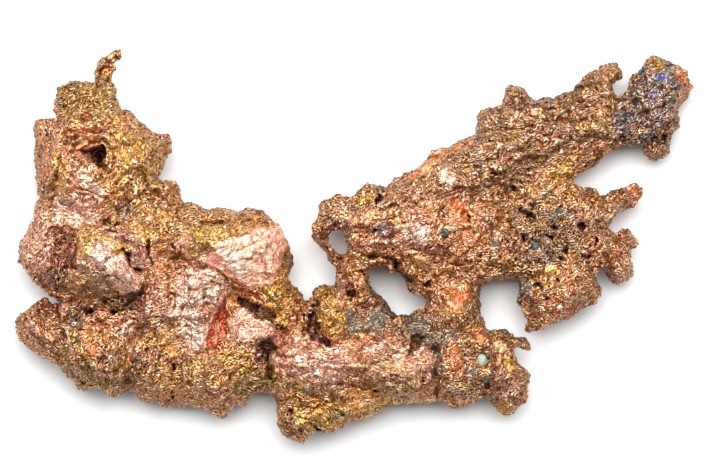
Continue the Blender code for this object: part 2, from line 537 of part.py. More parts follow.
def build():
    for holder in list(bpy.data.objects):
        bpy.data.objects.remove(holder)
    nugget = copper_nugget()
    stones, pockets = grains(nugget)
    floor = floor_cutter()
    cut(nugget, pockets, "grain pockets")
    cut(nugget, floor, "flat feet")
    mesh = evaluated(nugget)
    corners = np.array([v.co for v in mesh.vertices])
    bpy.data.meshes.remove(mesh)
    middle = (corners.min(axis=0) + corners.max(axis=0)) / 2
    base = bpy.data.objects.new("nugget", None)
    bpy.context.collection.objects.link(base)
    for holder in [nugget, floor, pockets] + stones:
        holder.parent = base
    base.location = (-middle[0], -middle[1], -FLOOR_CUT * MM)


build()
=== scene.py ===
"""Native copper nugget with mineral grains, lying on a pale surface under soft studio light."""
import math

import bmesh
import bpy
import numpy as np
from mathutils import Matrix, Vector, noise


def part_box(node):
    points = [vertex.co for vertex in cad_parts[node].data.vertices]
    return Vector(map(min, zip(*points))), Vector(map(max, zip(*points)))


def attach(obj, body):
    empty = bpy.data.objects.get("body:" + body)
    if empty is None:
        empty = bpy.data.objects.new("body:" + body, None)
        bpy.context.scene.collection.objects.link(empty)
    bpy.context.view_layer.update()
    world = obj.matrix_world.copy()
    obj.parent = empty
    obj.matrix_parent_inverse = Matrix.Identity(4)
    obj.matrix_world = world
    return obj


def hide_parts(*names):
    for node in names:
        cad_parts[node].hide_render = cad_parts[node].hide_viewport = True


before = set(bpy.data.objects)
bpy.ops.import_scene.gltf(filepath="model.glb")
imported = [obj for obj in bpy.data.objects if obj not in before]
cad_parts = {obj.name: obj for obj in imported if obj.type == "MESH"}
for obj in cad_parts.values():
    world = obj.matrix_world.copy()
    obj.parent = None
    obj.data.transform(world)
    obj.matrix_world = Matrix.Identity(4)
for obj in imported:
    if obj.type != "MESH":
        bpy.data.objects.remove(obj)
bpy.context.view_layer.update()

# ---- the table, the light and the camera ----------------------------------------------------------
# The nugget lies on a sheet of matt white laminate under studio softboxes: a broad panel above and
# beyond its upper edge, and a weaker one at each side. The camera looks straight down on it through
# a long lens, so the outline shows without perspective.
MM = 0.001
VIEW_WIDTH = 104.9 * MM         # what the frame spans at the nugget's middle height
VIEW_MIDDLE = (-0.14 * MM, 1.62 * MM, 6 * MM)
LENS = 150.0
SENSOR = 36.0
TABLE_SIDE = 4.0
TABLE_GAP = 0.02 * MM           # keeps the table's face off the copper that rests on it
SOFTBOXES = {                   # place, width, height and power: metres and watts
    "softbox_above": ((0.0, 0.24, 0.58), 0.70, 0.45, 9.4),
    "softbox_left": ((-0.60, 0.10, 0.35), 0.35, 0.50, 1.4),
    "softbox_right": ((0.60, 0.10, 0.35), 0.35, 0.50, 1.3),
}
SKY = "#F0EFEE"
SKY_STRENGTH = 0.34


def linear(hex_colour):
    """An sRGB hex colour as linear RGBA."""
    channels = [int(hex_colour[i:i + 2], 16) / 255 for i in (1, 3, 5)]
    return (*(c / 12.92 if c <= 0.04045 else ((c + 0.055) / 1.055) ** 2.4 for c in channels), 1.0)


def studio():
    for name, (place, width, height, watts) in SOFTBOXES.items():
        light = bpy.data.lights.new(name, "AREA")
        light.shape = "RECTANGLE"
        light.size = width
        light.size_y = height
        light.energy = watts
        lamp = bpy.data.objects.new(name, light)
        lamp.location = place
        lamp.rotation_euler = Vector(place).to_track_quat("Z", "Y").to_euler()
        lamp.visible_camera = False
        bpy.context.collection.objects.link(lamp)
    world = bpy.data.worlds.new("studio")
    world.use_nodes = True
    sky = world.node_tree.nodes["Background"]
    sky.inputs["Color"].default_value = linear(SKY)
    sky.inputs["Strength"].default_value = SKY_STRENGTH
    bpy.context.scene.world = world
    bpy.context.scene.view_settings.view_transform = "Standard"


def laminate():
    """Matt white laminate: an even, almost white diffuse face with a faint dry sheen."""
    material = bpy.data.materials.new("matt white laminate")
    material.use_nodes = True
    surface = material.node_tree.nodes["Principled BSDF"]
    surface.inputs["Base Color"].default_value = linear("#D6D6D6")
    surface.inputs["Roughness"].default_value = 0.9
    surface.inputs["Specular IOR Level"].default_value = 0.1
    return material


def table_top():
    shape = bmesh.new()
    bmesh.ops.create_grid(shape, x_segments=1, y_segments=1, size=TABLE_SIDE / 2)
    bmesh.ops.translate(shape, verts=shape.verts, vec=(0, 0, -TABLE_GAP))
    mesh = bpy.data.meshes.new("table_top")
    shape.to_mesh(mesh)
    shape.free()
    mesh.materials.append(laminate())
    table = bpy.data.objects.new("table_top", mesh)
    bpy.context.collection.objects.link(table)


def camera():
    data = bpy.data.cameras.new("camera")
    data.lens = LENS
    data.sensor_width = SENSOR
    data.clip_start = 0.01
    data.clip_end = 10
    holder = bpy.data.objects.new("camera", data)
    holder.location = Vector(VIEW_MIDDLE) + Vector((0, 0, LENS * VIEW_WIDTH / SENSOR))
    bpy.context.collection.objects.link(holder)
    bpy.context.scene.camera = holder


studio()
table_top()
camera()


# ---- the copper ------------------------------------------------------------------------------------
# One crumpled mass of native copper: it grew between pebbles and was leached clean. Pink and gold
# metal shows on its crests, red cuprite and brown oxide stay in its creases, and the wing's tip has a
# violet tarnish. Its skin is hackly: points and wormy ridges a few tenths of a millimetre across.
# Painted shade darkens its deepest hollows, creases and pits, and the ridges carry a painted highlight
# on their tops and painted shade between them.
noise.seed_set(7)
SKIN_PITCH = 0.19 * MM          # side of the skin's faces
SKIN_SWELL = 0.16 * MM          # what the skin regains after smoothing has drawn it in
LEVEL_STEPS = 300               # how wide the hollows are that packed metal fills, in smoothing steps
LEVEL_SHARE = 0.85              # how far it fills them
CREST_LEVEL = 16.2 * MM         # the crests above this height are pressed down,
CREST_PRESS = 0.7               # by this share of what stands over it
CAVITY_STEPS = 4                # smoothing steps that span a ridge's width,
HILL_STEPS = 40                 # a hill's,
MASS_STEPS = 600                # and the whole mass about it
BROAD_SHARE = 0.8               # how far the foil's facets hide the hills' own slopes from the light
KNOBS_AT_EDGE = 3.4             # how many times higher the knobs stand at the nugget's edge
WORM_SWIRL = 5.5                # how far the raised worms stray from the flow, in worms
CRYSTAL_SIZE = 0.19 * MM        # the crystals that sparkle singly,
CRYSTAL_TILT = 0.5              # and how far each leans
FACET_SIZE = 1.0 * MM           # the crumpled foil's facets,
FACET_BEND = 0.8 * MM           # how far their edges wander,
FACET_TILT = 0.46               # and how far each leans
SQUIGGLE_SIZE = 1.2 * MM        # the curls of the squiggly ridges,
SQUIGGLE_SPACING = 0.62 * MM    # their spacing across the flow,
SQUIGGLE_SWIRL = 3.2            # how far they stray from it, in ridges,
SQUIGGLE_TURN = 3.4             # how far a facet turns them, in ridges a millimetre,
SQUIGGLE_HEIGHT = 0.075 * MM    # and their relief
TINT_GAIN = 1.15                # the regions are drawn stronger, since the squiggles wash them out
COPPER_NODE = "copper_nugget"
GRAIN_NODES = [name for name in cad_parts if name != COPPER_NODE]
PALETTE = {
    "pale": "#FFD6C4", "pink": "#FBBBA2", "salmon": "#E2936A", "peach": "#F6C88C", "copper": "#D08950",
    "gold": "#D89C36", "yellow": "#EAB95A", "ochre": "#B57E28", "olive": "#A5893A", "tan": "#BC8E5C",
    "bronze": "#94603A", "umber": "#5E3F28", "orange": "#DC6424", "red": "#B23414", "rust": "#8C361A",
    "shade_maroon": "#541A0E", "shade_black": "#1C0A06", "violet": "#8480C0", "slate": "#6E666C",
}

# The tables below are drawn in plan, in millimetres, +X right and +Y up.
# Nudges: the skin round x, y within a reach is moved by dx, dy and spread away from the place.
NUDGES = [
    (-34.9, 28.4, 1.6, 0.8, 0.1, 0.0), (-39.2, 24.4, 1.3, 0.9, -0.5, 0.0),
    (-36.0, 24.6, 1.0, -0.3, 0.0, 0.0), (-46.2, 17.0, 1.5, -0.5, 1.1, 0.0),
    (-43.8, 19.4, 1.1, 0.7, -0.6, 0.0), (-27.6, 8.0, 1.3, 0.9, 0.9, 0.0), (-2.5, 1.5, 1.9, 0.0, 0.0, 0.75),
    (-1.8, 0.1, 1.3, 0.1, -0.7, 0.2), (-6.0, -26.0, 3.0, 0.0, -0.4, 0.0), (1.0, -25.6, 3.0, 0.0, -0.4, 0.0),
    (3.4, -3.9, 1.8, -0.2, 0.6, 0.0), (6.6, -4.2, 1.4, 0.0, 0.5, 0.0), (21.6, -5.7, 2.4, 0.0, 0.6, 0.0),
    (39.0, 13.6, 2.6, 0.0, 0.5, 0.0), (-40.2, -20.6, 0.9, 0.0, -0.7, 0.0),
    (-26.2, -23.4, 0.9, 0.0, -0.7, 0.0), (-22.4, -22.8, 0.8, -0.1, -0.5, 0.0),
    (-16.2, -23.0, 0.9, 0.0, -0.5, 0.0),
]
# Flow ridges: oval (x, y, half length, half width, turn), run of the ridges in degrees or the point
# that they circle, spacing, height and how satin the metal is there.
FLOWS = [
    ((-38.0, 13.0, 8.4, 7.4, 0), (-38.2, 12.4), 1.25, 0.42, 0.2),
    ((-14.6, 0.6, 6.2, 4.6, 35), 52, 0.75, 0.16, 0.4),
    ((-16.4, -3.6, 6.0, 2.2, -8), -10, 0.65, 0.14, 0.4),
    ((-26.2, -0.6, 3.4, 2.2, 10), 20, 0.8, 0.14, 0.3),
    ((-22.0, -7.4, 5.4, 5.2, 0), (-21.4, -9.6), 1.05, 0.34, 0.25),
    ((-34.4, -3.2, 6.0, 2.0, -42), -42, 0.9, 0.26, 0.3),
    ((-36.4, 1.6, 5.6, 2.6, 12), 15, 0.9, 0.2, 0.1),
    ((-45.6, 0.0, 3.6, 7.4, 0), 80, 1.0, 0.24, 0.1),
    ((-27.0, 5.0, 7.0, 3.2, -10), -12, 1.1, 0.26, 0.0),
    ((5.0, -17.4, 8.4, 4.6, -18), -22, 1.15, 0.36, 0.3),
    ((-6.4, -17.2, 6.0, 3.8, -8), -12, 1.2, 0.32, 0.2),
    ((-6.8, -24.6, 5.8, 3.4, -15), -25, 1.1, 0.28, 0.0),
    ((1.0, -22.3, 3.0, 1.5, 5), 8, 0.8, 0.1, 0.4),
    ((14.0, -8.4, 4.0, 4.4, 0), 70, 1.0, 0.3, 0.1),
    ((23.4, -17.0, 3.2, 6.4, 0), 75, 1.1, 0.28, 0.1),
    ((24.6, 15.0, 14.0, 6.6, 30), 6, 1.1, 0.3, 0.1),
    ((36.0, 19.6, 7.0, 5.0, 15), -4, 1.0, 0.3, 0.1),
    ((19.4, 18.0, 2.6, 3.0, 0), -50, 0.8, 0.28, 0.2),
    ((6.4, 4.4, 7.6, 5.0, 25), 28, 1.15, 0.28, 0.1),
    ((17.4, 5.4, 6.8, 5.4, 0), 18, 1.2, 0.26, 0.1),
    ((43.4, 20.2, 5.6, 7.4, 0), 55, 1.2, 0.26, 0.0),
    ((39.8, 6.8, 4.2, 2.4, 35), 35, 0.9, 0.22, 0.1),
    ((39.4, -3.0, 2.4, 2.4, 0), -50, 0.7, 0.2, 0.1),
    ((-37.0, -17.6, 5.6, 4.6, 0), 60, 1.2, 0.3, 0.0),
    ((-27.4, -17.6, 6.0, 5.0, 0), 20, 1.2, 0.28, 0.0),
    ((-45.4, -12.0, 4.2, 3.2, -30), -35, 1.1, 0.26, 0.0),
]
# Creases: points along each, its half width, its depth and how dark its painted shade is.
CREASES = [
    ([(-33.5, -0.3), (-32.8, -1.7), (-32.6, -2.9), (-31.6, -3.8)], 0.24, 0.6, 0.95),
    ([(-29.9, 1.0), (-30.7, 0.2), (-30.5, -1.3), (-29.8, -2.4)], 0.22, 0.6, 0.8),
    ([(-36.2, 2.5), (-34.8, 1.9), (-33.4, 0.9), (-32.4, 0.7)], 0.24, 0.5, 0.8),
    ([(-40.2, 1.8), (-40.4, -0.9), (-41.6, -2.9)], 0.3, 0.5, 0.6),
    ([(-31.1, -5.4), (-31.6, -6.8), (-33.8, -8.2)], 0.4, 0.6, 0.7),
    ([(-23.6, -3.3), (-22.0, -2.9), (-20.4, -3.4), (-18.8, -4.7), (-18.2, -5.7), (-17.0, -6.6)],
     0.34, 0.7, 0.5),
    ([(-12.9, -15.6), (-12.7, -17.4), (-12.4, -19.6)], 0.4, 1.0, 0.7),
    ([(-27.1, -1.7), (-25.8, -1.3), (-24.8, -1.9)], 0.26, 0.5, 0.6),
    ([(11.6, -14.6), (12.3, -16.6), (11.8, -18.4), (12.4, -20.0), (12.0, -21.8)], 0.4, 0.5, 0.6),
    ([(-22.7, 3.6), (-21.2, 3.8), (-19.7, 3.4)], 0.26, 0.6, 0.7),
    ([(-26.3, 0.6), (-26.4, -0.4)], 0.2, 0.5, 0.8),
    ([(2.0, -1.3), (4.2, -1.5), (6.0, -2.7), (7.4, -4.1), (8.4, -5.0)], 0.4, 0.8, 0.7),
    ([(-40.9, 5.0), (-38.2, 4.2), (-35.2, 5.0), (-33.2, 6.8)], 0.34, 0.5, 0.3),
    ([(-44.8, 6.0), (-43.9, 10.4), (-42.6, 14.8), (-39.9, 16.7), (-36.0, 17.2)], 0.3, 0.5, 0.4),
    ([(-42.0, 15.8), (-39.0, 16.2), (-36.8, 15.8)], 0.2, 0.4, 0.3),
    ([(-10.4, -13.2), (-8.0, -14.6), (-4.0, -14.4), (0.0, -13.6)], 0.36, 0.5, 0.3),
    ([(12.6, 7.6), (18.4, 9.0), (23.0, 12.4), (30.0, 14.4)], 0.34, 0.5, 0.2),
    ([(30.2, 15.9), (34.0, 16.4), (38.0, 15.9)], 0.34, 0.5, 0.4),
    ([(36.6, 22.2), (38.8, 21.8), (42.0, 21.6)], 0.34, 0.5, 0.5),
    ([(24.5, 5.4), (25.4, 4.6), (26.0, 3.6)], 0.26, 0.8, 0.8),
    ([(40.6, 19.8), (43.4, 19.9), (45.6, 20.4)], 0.24, 0.4, 0.5),
    ([(44.8, 23.6), (46.4, 23.2), (48.0, 23.5)], 0.24, 0.4, 0.5),
    ([(-1.8, -3.8), (-1.0, -6.0), (-0.6, -7.2)], 0.34, 0.6, 0.5),
    ([(0.4, -8.4), (2.0, -8.8), (3.8, -8.6)], 0.26, 0.5, 0.4),
    ([(-2.6, -20.4), (1.6, -20.8), (6.0, -19.4)], 0.26, 0.4, 0.4),
]
# Veins: thin folds, each VEIN wide, deep and darkened by painted shade alike.
VEIN = (0.19, 0.22, 0.62)
VEINS = [
    # head
    [(-44.0, 17.6), (-42.0, 18.4), (-39.5, 18.6), (-37.0, 18.2)],
    [(-43.2, 15.4), (-42.4, 16.6), (-40.0, 17.2), (-37.0, 17.0), (-35.6, 16.2)],
    [(-41.4, 13.2), (-41.2, 14.8), (-39.8, 15.6), (-37.6, 15.7), (-36.0, 15.2)],
    [(-41.0, 12.8), (-39.4, 11.6), (-37.6, 10.8), (-36.2, 11.0)],
    [(-42.6, 11.2), (-40.6, 9.6), (-38.6, 7.8), (-36.6, 7.0)],
    [(-35.8, 14.8), (-35.2, 13.2), (-35.4, 11.4)],
    [(-38.4, 22.2), (-38.0, 24.4), (-37.2, 26.4)],
    [(-43.4, 22.4), (-42.2, 23.8), (-40.6, 24.2)],
    [(-42.8, 20.6), (-40.6, 21.6), (-38.6, 21.2)],
    [(-45.2, 17.6), (-44.6, 14.6), (-44.8, 11.6)],
    [(-43.8, 6.8), (-42.4, 6.2), (-40.2, 7.0)],
    [(-34.2, 8.6), (-33.4, 6.4), (-33.8, 4.6)],
    [(-31.6, 12.6), (-31.2, 10.2), (-30.8, 8.0)],
    [(-30.4, 7.0), (-29.6, 5.4), (-28.2, 4.4)],
    [(-29.4, 8.4), (-28.2, 7.2), (-26.8, 6.4)],
    # shoulder and block
    [(-26.4, 5.4), (-25.8, 3.8), (-24.2, 3.0)],
    [(-25.4, 0.2), (-26.0, -1.4), (-27.8, -1.6)],
    [(-22.4, -0.6), (-20.6, -0.8), (-19.4, 0.2)],
    [(-16.8, 3.6), (-14.8, 4.2), (-12.8, 3.6)],
    [(-18.6, -1.2), (-16.4, -0.4), (-14.2, 0.8)],
    [(-18.2, -2.6), (-15.4, -1.6), (-12.8, 0.2)],
    [(-13.8, -0.6), (-13.2, -3.2), (-12.4, -5.0)],
    [(-42.4, -3.2), (-40.0, -2.6), (-38.2, -3.6), (-36.2, -3.4)],
    [(-42.8, -5.6), (-40.4, -5.0), (-38.4, -6.2)],
    [(-37.8, -7.4), (-35.2, -7.6), (-32.8, -6.8)],
    [(-36.4, -2.2), (-34.8, -1.2), (-33.8, -0.2)],
    [(-36.6, -4.6), (-34.8, -4.0), (-33.4, -5.2)],
    # crumpled middle and the lower left
    [(-27.6, -5.6), (-26.2, -7.4), (-26.8, -9.2)],
    [(-24.8, -4.6), (-24.0, -6.6), (-24.4, -8.8)],
    [(-22.6, -4.4), (-21.8, -6.4), (-22.4, -8.4)],
    [(-25.0, -10.4), (-23.4, -11.6), (-22.6, -13.6)],
    [(-27.4, -7.2), (-25.6, -6.2), (-23.6, -6.6), (-21.2, -5.2), (-19.8, -5.6)],
    [(-27.0, -10.4), (-25.2, -9.0), (-23.0, -9.6), (-21.0, -8.2), (-20.0, -8.8)],
    [(-26.2, -12.4), (-24.6, -11.8), (-23.8, -13.4), (-24.0, -15.0)],
    [(-25.8, -3.8), (-24.0, -4.2), (-22.6, -3.6), (-20.6, -4.8)],
    [(-44.2, -8.6), (-43.6, -11.4), (-42.6, -14.0)],
    [(-40.6, -9.4), (-38.2, -9.2), (-36.0, -9.8), (-33.6, -9.0), (-31.0, -9.4)],
    [(-38.0, -11.0), (-36.2, -12.4), (-35.0, -14.6)],
    [(-41.4, -15.6), (-39.2, -17.4), (-36.4, -18.4), (-34.6, -18.0)],
    [(-47.6, -12.6), (-46.0, -14.4), (-43.6, -16.4)],
    [(-29.4, -12.6), (-28.6, -15.2), (-29.4, -18.0)],
    [(-31.8, -15.6), (-31.4, -18.2), (-31.6, -20.6)],
    [(-25.2, -15.6), (-25.4, -18.2), (-25.9, -20.2)],
    [(-22.4, -16.4), (-22.0, -19.2), (-21.0, -21.8)],
    [(-19.4, -17.0), (-18.6, -16.2), (-17.2, -16.4), (-16.8, -17.8), (-17.6, -18.9), (-18.9, -18.6)],
    # arm
    [(-10.6, -16.4), (-8.0, -16.0), (-5.0, -16.8), (-2.4, -16.2)],
    [(-9.8, -19.0), (-7.0, -18.2), (-4.2, -19.6), (-1.2, -21.0)],
    [(-11.6, -22.8), (-9.0, -22.4), (-6.4, -23.6), (-3.6, -23.0)],
    [(-8.6, -25.0), (-6.4, -25.2), (-4.2, -26.2)],
    [(0.6, -17.4), (3.0, -17.0), (5.8, -15.6), (8.0, -15.4)],
    [(-0.8, -18.8), (2.2, -19.4), (5.0, -18.8), (8.4, -19.6)],
    [(0.4, -15.2), (2.0, -14.0), (4.4, -13.0)],
    [(6.4, -21.2), (9.2, -21.0), (11.2, -20.0)],
    # wing
    [(10.6, 13.0), (13.6, 13.6), (17.0, 15.4), (20.4, 16.6)],
    [(19.0, 20.4), (22.6, 19.6), (26.0, 20.8), (30.2, 20.4)],
    [(21.0, 17.4), (25.4, 17.6), (29.6, 18.8), (34.4, 18.4)],
    [(23.0, 22.6), (25.0, 21.8), (28.4, 22.2)],
    [(32.0, 22.0), (34.6, 21.6), (37.6, 20.4)],
    [(30.6, 23.8), (33.6, 23.4), (36.4, 24.4)],
    [(17.0, 12.4), (21.4, 13.2), (25.6, 14.8)],
    [(3.8, 5.6), (6.8, 6.4), (9.4, 8.4)],
    [(2.6, 4.0), (5.4, 4.2), (8.4, 5.6), (11.4, 8.6)],
    [(8.4, -0.6), (11.6, 0.2), (14.6, -0.6)],
    [(12.6, -2.0), (15.2, -2.6), (18.0, -2.0), (21.6, -2.8)],
    [(18.6, 4.6), (20.2, 3.0), (20.0, 0.8)],
    [(22.8, 3.6), (24.0, 1.2), (23.0, -1.4)],
]
# Pits: x, y, half length, half width, turn and depth.
PITS = [
    (-35.0, 3.1, 0.55, 0.5, 0, 1.2), (-36.4, 3.6, 0.9, 0.4, -15, 0.6), (-39.2, -9.6, 0.75, 0.4, 0, 1.6),
    (-35.4, -9.5, 0.55, 0.4, 0, 1.2), (-36.6, -7.8, 0.5, 0.35, 0, 1.0), (-31.9, -3.7, 0.5, 0.35, 0, 1.0),
    (-26.8, -17.6, 0.65, 0.75, 0, 2.6), (-27.1, -21.8, 0.3, 0.6, 0, 1.4), (-40.2, -20.0, 0.5, 0.3, 0, 1.0),
    (3.1, -21.2, 0.4, 0.3, 0, 0.9), (5.0, -20.5, 0.3, 0.5, 15, 0.9), (-1.8, -24.8, 0.4, 0.4, 0, 0.9),
    (-5.5, -26.4, 0.4, 0.4, 0, 0.9), (-9.6, -24.2, 0.35, 0.5, 0, 0.7), (6.0, -2.6, 0.4, 0.7, 20, 1.6),
    (10.8, -5.5, 0.4, 0.6, -20, 1.4), (16.6, 4.2, 0.28, 0.7, 0, 1.4), (3.4, 6.9, 0.42, 0.8, 0, 1.4),
    (2.6, 2.3, 0.4, 0.28, 0, 0.9), (24.8, 1.5, 0.42, 0.9, 10, 1.6), (25.9, 4.5, 0.5, 0.4, 0, 1.4),
    (28.6, 1.3, 0.65, 0.4, -40, 1.4), (29.4, 3.0, 0.5, 0.4, 30, 1.4), (33.4, 3.0, 0.6, 0.5, 0, 1.2),
    (31.2, -0.5, 0.8, 0.4, -20, 1.4), (30.6, -1.6, 0.5, 0.35, 0, 1.2), (34.2, -1.4, 0.6, 0.4, -20, 1.3),
    (27.2, -1.8, 0.3, 0.3, 0, 1.0), (23.5, 8.9, 0.42, 0.36, 0, 1.2), (22.6, 7.3, 0.3, 0.4, 0, 1.0),
    (20.5, 10.8, 0.4, 0.3, 0, 1.0), (34.2, 12.3, 0.42, 0.35, 0, 1.1), (28.5, -7.4, 0.55, 0.4, 0, 1.8),
    (27.0, -5.9, 0.4, 0.35, 0, 1.2), (26.2, 6.2, 0.3, 0.3, 0, 0.9), (29.8, -5.2, 0.3, 0.3, 0, 0.9),
    (-0.6, -6.8, 0.6, 0.7, 0, 1.0), (19.8, -20.4, 0.35, 0.7, 0, 1.0), (10.2, -19.8, 0.3, 0.3, 0, 0.8),
    (40.0, 16.1, 0.6, 0.3, 0, 0.9), (45.6, 16.4, 0.4, 0.35, 0, 0.8), (35.6, 0.6, 0.35, 0.6, 0, 1.0),
    (-5.8, -8.5, 0.5, 0.4, 0, 1.0), (13.2, 1.3, 0.3, 0.4, 0, 0.8), (-43.6, -4.6, 0.4, 0.3, 0, 0.7),
]
# Broad tints: a colour and the ovals that it covers (x, y, half length, half width, turn, strength).
TINTS = {
    "yellow": [
        (-24.0, 3.0, 10.0, 3.6, 0, 0.2), (-33.0, 12.0, 6.0, 6.0, 0, 0.3), (-12.6, -8.0, 3.0, 5.0, 0, 0.4)],
    "pink": [
        (-40.2, 7.4, 4.0, 6.4, 8, 0.7), (-6.0, -16.8, 7.0, 4.4, -8, 0.9), (-28.0, -8.4, 4.4, 6.0, 10, 0.8),
        (9.6, 2.0, 4.6, 3.4, 0, 0.6), (6.4, -16.8, 7.0, 3.6, -12, 0.5), (-14.5, -12.6, 5.0, 3.0, -15, 0.85),
        (-46.6, 1.0, 3.0, 5.6, 0, 0.6), (-34.0, -11.4, 4.0, 2.0, 0, 0.5), (26.6, 6.8, 3.0, 2.0, 0, 0.5),
        (24.0, -0.6, 2.0, 2.6, 0, 0.5), (22.6, -20.4, 3.0, 2.4, 0, 0.4), (-24.0, -9.0, 6.0, 7.0, 0, 0.85),
        (-29.0, -9.0, 3.0, 4.0, 0, 0.5), (-35.0, -1.6, 6.0, 4.6, 0, 0.85), (-45.0, 0.4, 3.6, 6.4, 0, 0.5),
        (-5.6, -18.6, 6.0, 4.0, 0, 0.4)],
    "salmon": [
        (4.0, 3.6, 8.0, 4.8, 0, 0.6), (16.0, 4.0, 8.0, 6.4, 0, 0.5), (33.0, -7.0, 4.6, 3.4, 0, 0.6),
        (39.6, 6.6, 4.0, 2.8, 35, 0.7), (-42.0, 14.0, 4.6, 5.6, 0, 0.5), (-17.0, -14.0, 5.0, 3.0, 0, 0.5),
        (39.6, -2.8, 2.6, 2.8, 0, 0.7), (8.0, 6.6, 3.0, 2.6, 0, 0.7), (-46.6, -12.6, 3.0, 2.4, 0, 0.4)],
    "gold": [
        (-11.0, -6.6, 2.6, 6.0, 0, 0.8), (-32.6, 14.0, 4.0, 5.0, 0, 0.4), (-7.0, -24.4, 6.0, 3.2, -8, 0.8),
        (1.6, -23.4, 4.0, 2.4, 0, 0.7), (-8.6, -20.6, 2.4, 1.6, 0, 0.5), (-11.0, -10.0, 1.6, 3.0, 0, 0.5),
        (-36.0, 22.0, 4.0, 3.4, 0, 0.4), (31.0, 11.0, 2.4, 1.8, 0, 0.6), (-18.0, -16.6, 3.0, 2.4, 0, 0.8),
        (-36.4, -18.6, 5.0, 3.4, 0, 0.5), (15.6, -8.4, 3.0, 4.0, 0, 0.5), (-28.0, -19.6, 4.6, 3.0, 0, 0.6),
        (-30.0, 3.0, 4.4, 2.4, 0, 0.5), (-2.0, -14.2, 2.0, 1.2, 0, 0.5), (-30.0, -13.0, 3.0, 2.6, 0, 0.5),
        (-43.0, 8.6, 1.6, 3.4, 0, 0.6), (20.6, 8.6, 3.6, 3.0, 0, 0.4), (-36.8, 24.6, 1.6, 1.6, 0, 0.5),
        (36.4, 18.0, 5.0, 1.6, 10, 0.4)],
    "olive": [
        (-40.0, -16.0, 4.0, 3.0, 0, 0.35), (-38.4, 21.0, 5.6, 3.8, 0, 0.45), (-31.0, 10.6, 4.4, 3.6, 0, 0.4),
        (-14.8, -20.2, 3.4, 2.6, 0, 0.6), (-24.0, -18.6, 4.0, 3.4, 0, 0.4), (-42.6, 22.6, 2.4, 2.0, 0, 0.4),
        (-33.0, 5.6, 4.0, 1.6, 0, 0.4), (38.6, 22.4, 2.6, 1.6, 0, 0.5), (-7.2, -21.0, 1.8, 1.0, 0, 0.5)],
    "bronze": [
        (24.0, 15.4, 14.0, 7.0, 33, 0.7), (33.0, 20.0, 9.0, 5.0, 25, 0.7), (8.0, 8.4, 6.0, 3.4, 22, 0.5),
        (28.0, 2.4, 7.0, 6.0, 0, 0.75), (16.0, 10.0, 6.0, 3.6, 35, 0.5), (-45.6, -11.6, 4.0, 3.4, 0, 0.5),
        (10.0, -12.0, 6.0, 2.6, -10, 0.7), (-34.0, -17.0, 6.0, 5.0, 0, 0.3), (46.0, 17.0, 3.0, 4.0, 0, 0.7)],
    "orange": [
        (-46.0, -12.6, 3.8, 2.8, 0, 0.4), (14.6, -7.0, 2.8, 2.6, 0, 0.7), (24.4, -24.0, 2.6, 2.0, 0, 0.4),
        (22.0, 1.0, 2.2, 3.0, 0, 0.4), (30.0, -9.6, 2.8, 2.0, 0, 0.6), (3.4, -13.8, 3.4, 1.6, 0, 0.4),
        (-30.6, -7.4, 2.6, 3.0, 0, 0.4), (38.6, 12.4, 2.0, 2.0, 0, 0.3), (-37.0, -10.4, 3.4, 1.4, 0, 0.6)],
    "red": [
        (-10.4, -14.4, 1.4, 2.4, 0, 0.6), (-25.2, -5.6, 0.8, 3.4, 0, 0.5), (-9.0, -10.6, 1.4, 1.4, 0, 0.6),
        (21.8, 4.2, 1.2, 2.4, 0, 0.4), (-45.0, -8.0, 2.4, 1.2, 0, 0.4), (35.6, 0.6, 1.2, 2.6, 0, 0.4),
        (-0.8, -5.6, 1.4, 1.8, 0, 0.6), (9.0, 4.8, 1.4, 0.8, 0, 0.5), (-29.4, 6.4, 0.8, 2.0, 30, 0.5)],
    "umber": [
        (24.0, 16.0, 14.0, 7.0, 33, 0.35), (26.6, 2.0, 9.0, 7.6, 0, 0.4), (7.0, -17.4, 7.0, 4.6, -18, 0.45),
        (15.0, -8.0, 4.0, 5.0, 0, 0.25), (-36.0, -18.0, 8.0, 4.0, 0, 0.35), (3.0, -9.0, 5.0, 4.0, 0, 0.4),
        (1.0, 5.0, 6.0, 4.0, 0, 0.25), (31.0, 2.0, 5.0, 5.0, 0, 0.3), (38.0, 0.0, 4.0, 10.0, 0, 0.3),
        (23.0, -18.0, 4.0, 7.0, 0, 0.4), (46.0, 17.0, 3.0, 4.0, 0, 0.4), (28.4, 1.6, 4.6, 4.6, 0, 0.6),
        (8.6, -11.8, 4.4, 1.8, -8, 0.6), (11.6, -14.6, 1.8, 2.6, 0, 0.6), (-34.0, -9.0, 3.0, 1.2, -10, 0.5),
        (18.0, -15.0, 2.6, 1.6, 0, 0.5), (21.6, -12.6, 1.6, 1.4, 0, 0.5), (33.4, -1.6, 2.2, 1.6, 0, 0.5),
        (44.0, 20.4, 5.0, 8.0, 0, 0.45), (36.6, 16.4, 4.0, 1.2, 0, 0.5), (3.0, -11.4, 3.0, 2.4, 0, 0.5),
        (16.4, -20.6, 3.4, 2.0, 0, 0.4), (-9.6, -27.0, 3.0, 1.6, 0, 0.4), (5.6, -17.6, 6.4, 5.0, 0, 0.3),
        (-44.6, -12.0, 5.0, 3.4, 0, 0.3), (15.0, -7.6, 3.6, 3.0, 0, 0.3), (30.0, -8.0, 5.6, 3.4, 0, 0.3),
        (3.0, 6.0, 5.6, 3.4, 0, 0.2)],
    "slate": [
        (44.6, 22.4, 4.4, 5.4, 0, 0.9), (42.2, 18.6, 4.6, 3.6, 0, 0.85), (45.6, 26.0, 3.2, 2.6, 0, 0.8),
        (3.6, 2.4, 1.8, 1.4, 0, 0.6), (20.6, 1.0, 1.6, 1.2, 0, 0.5), (-33.8, 4.8, 1.4, 2.0, 0, 0.5)],
}
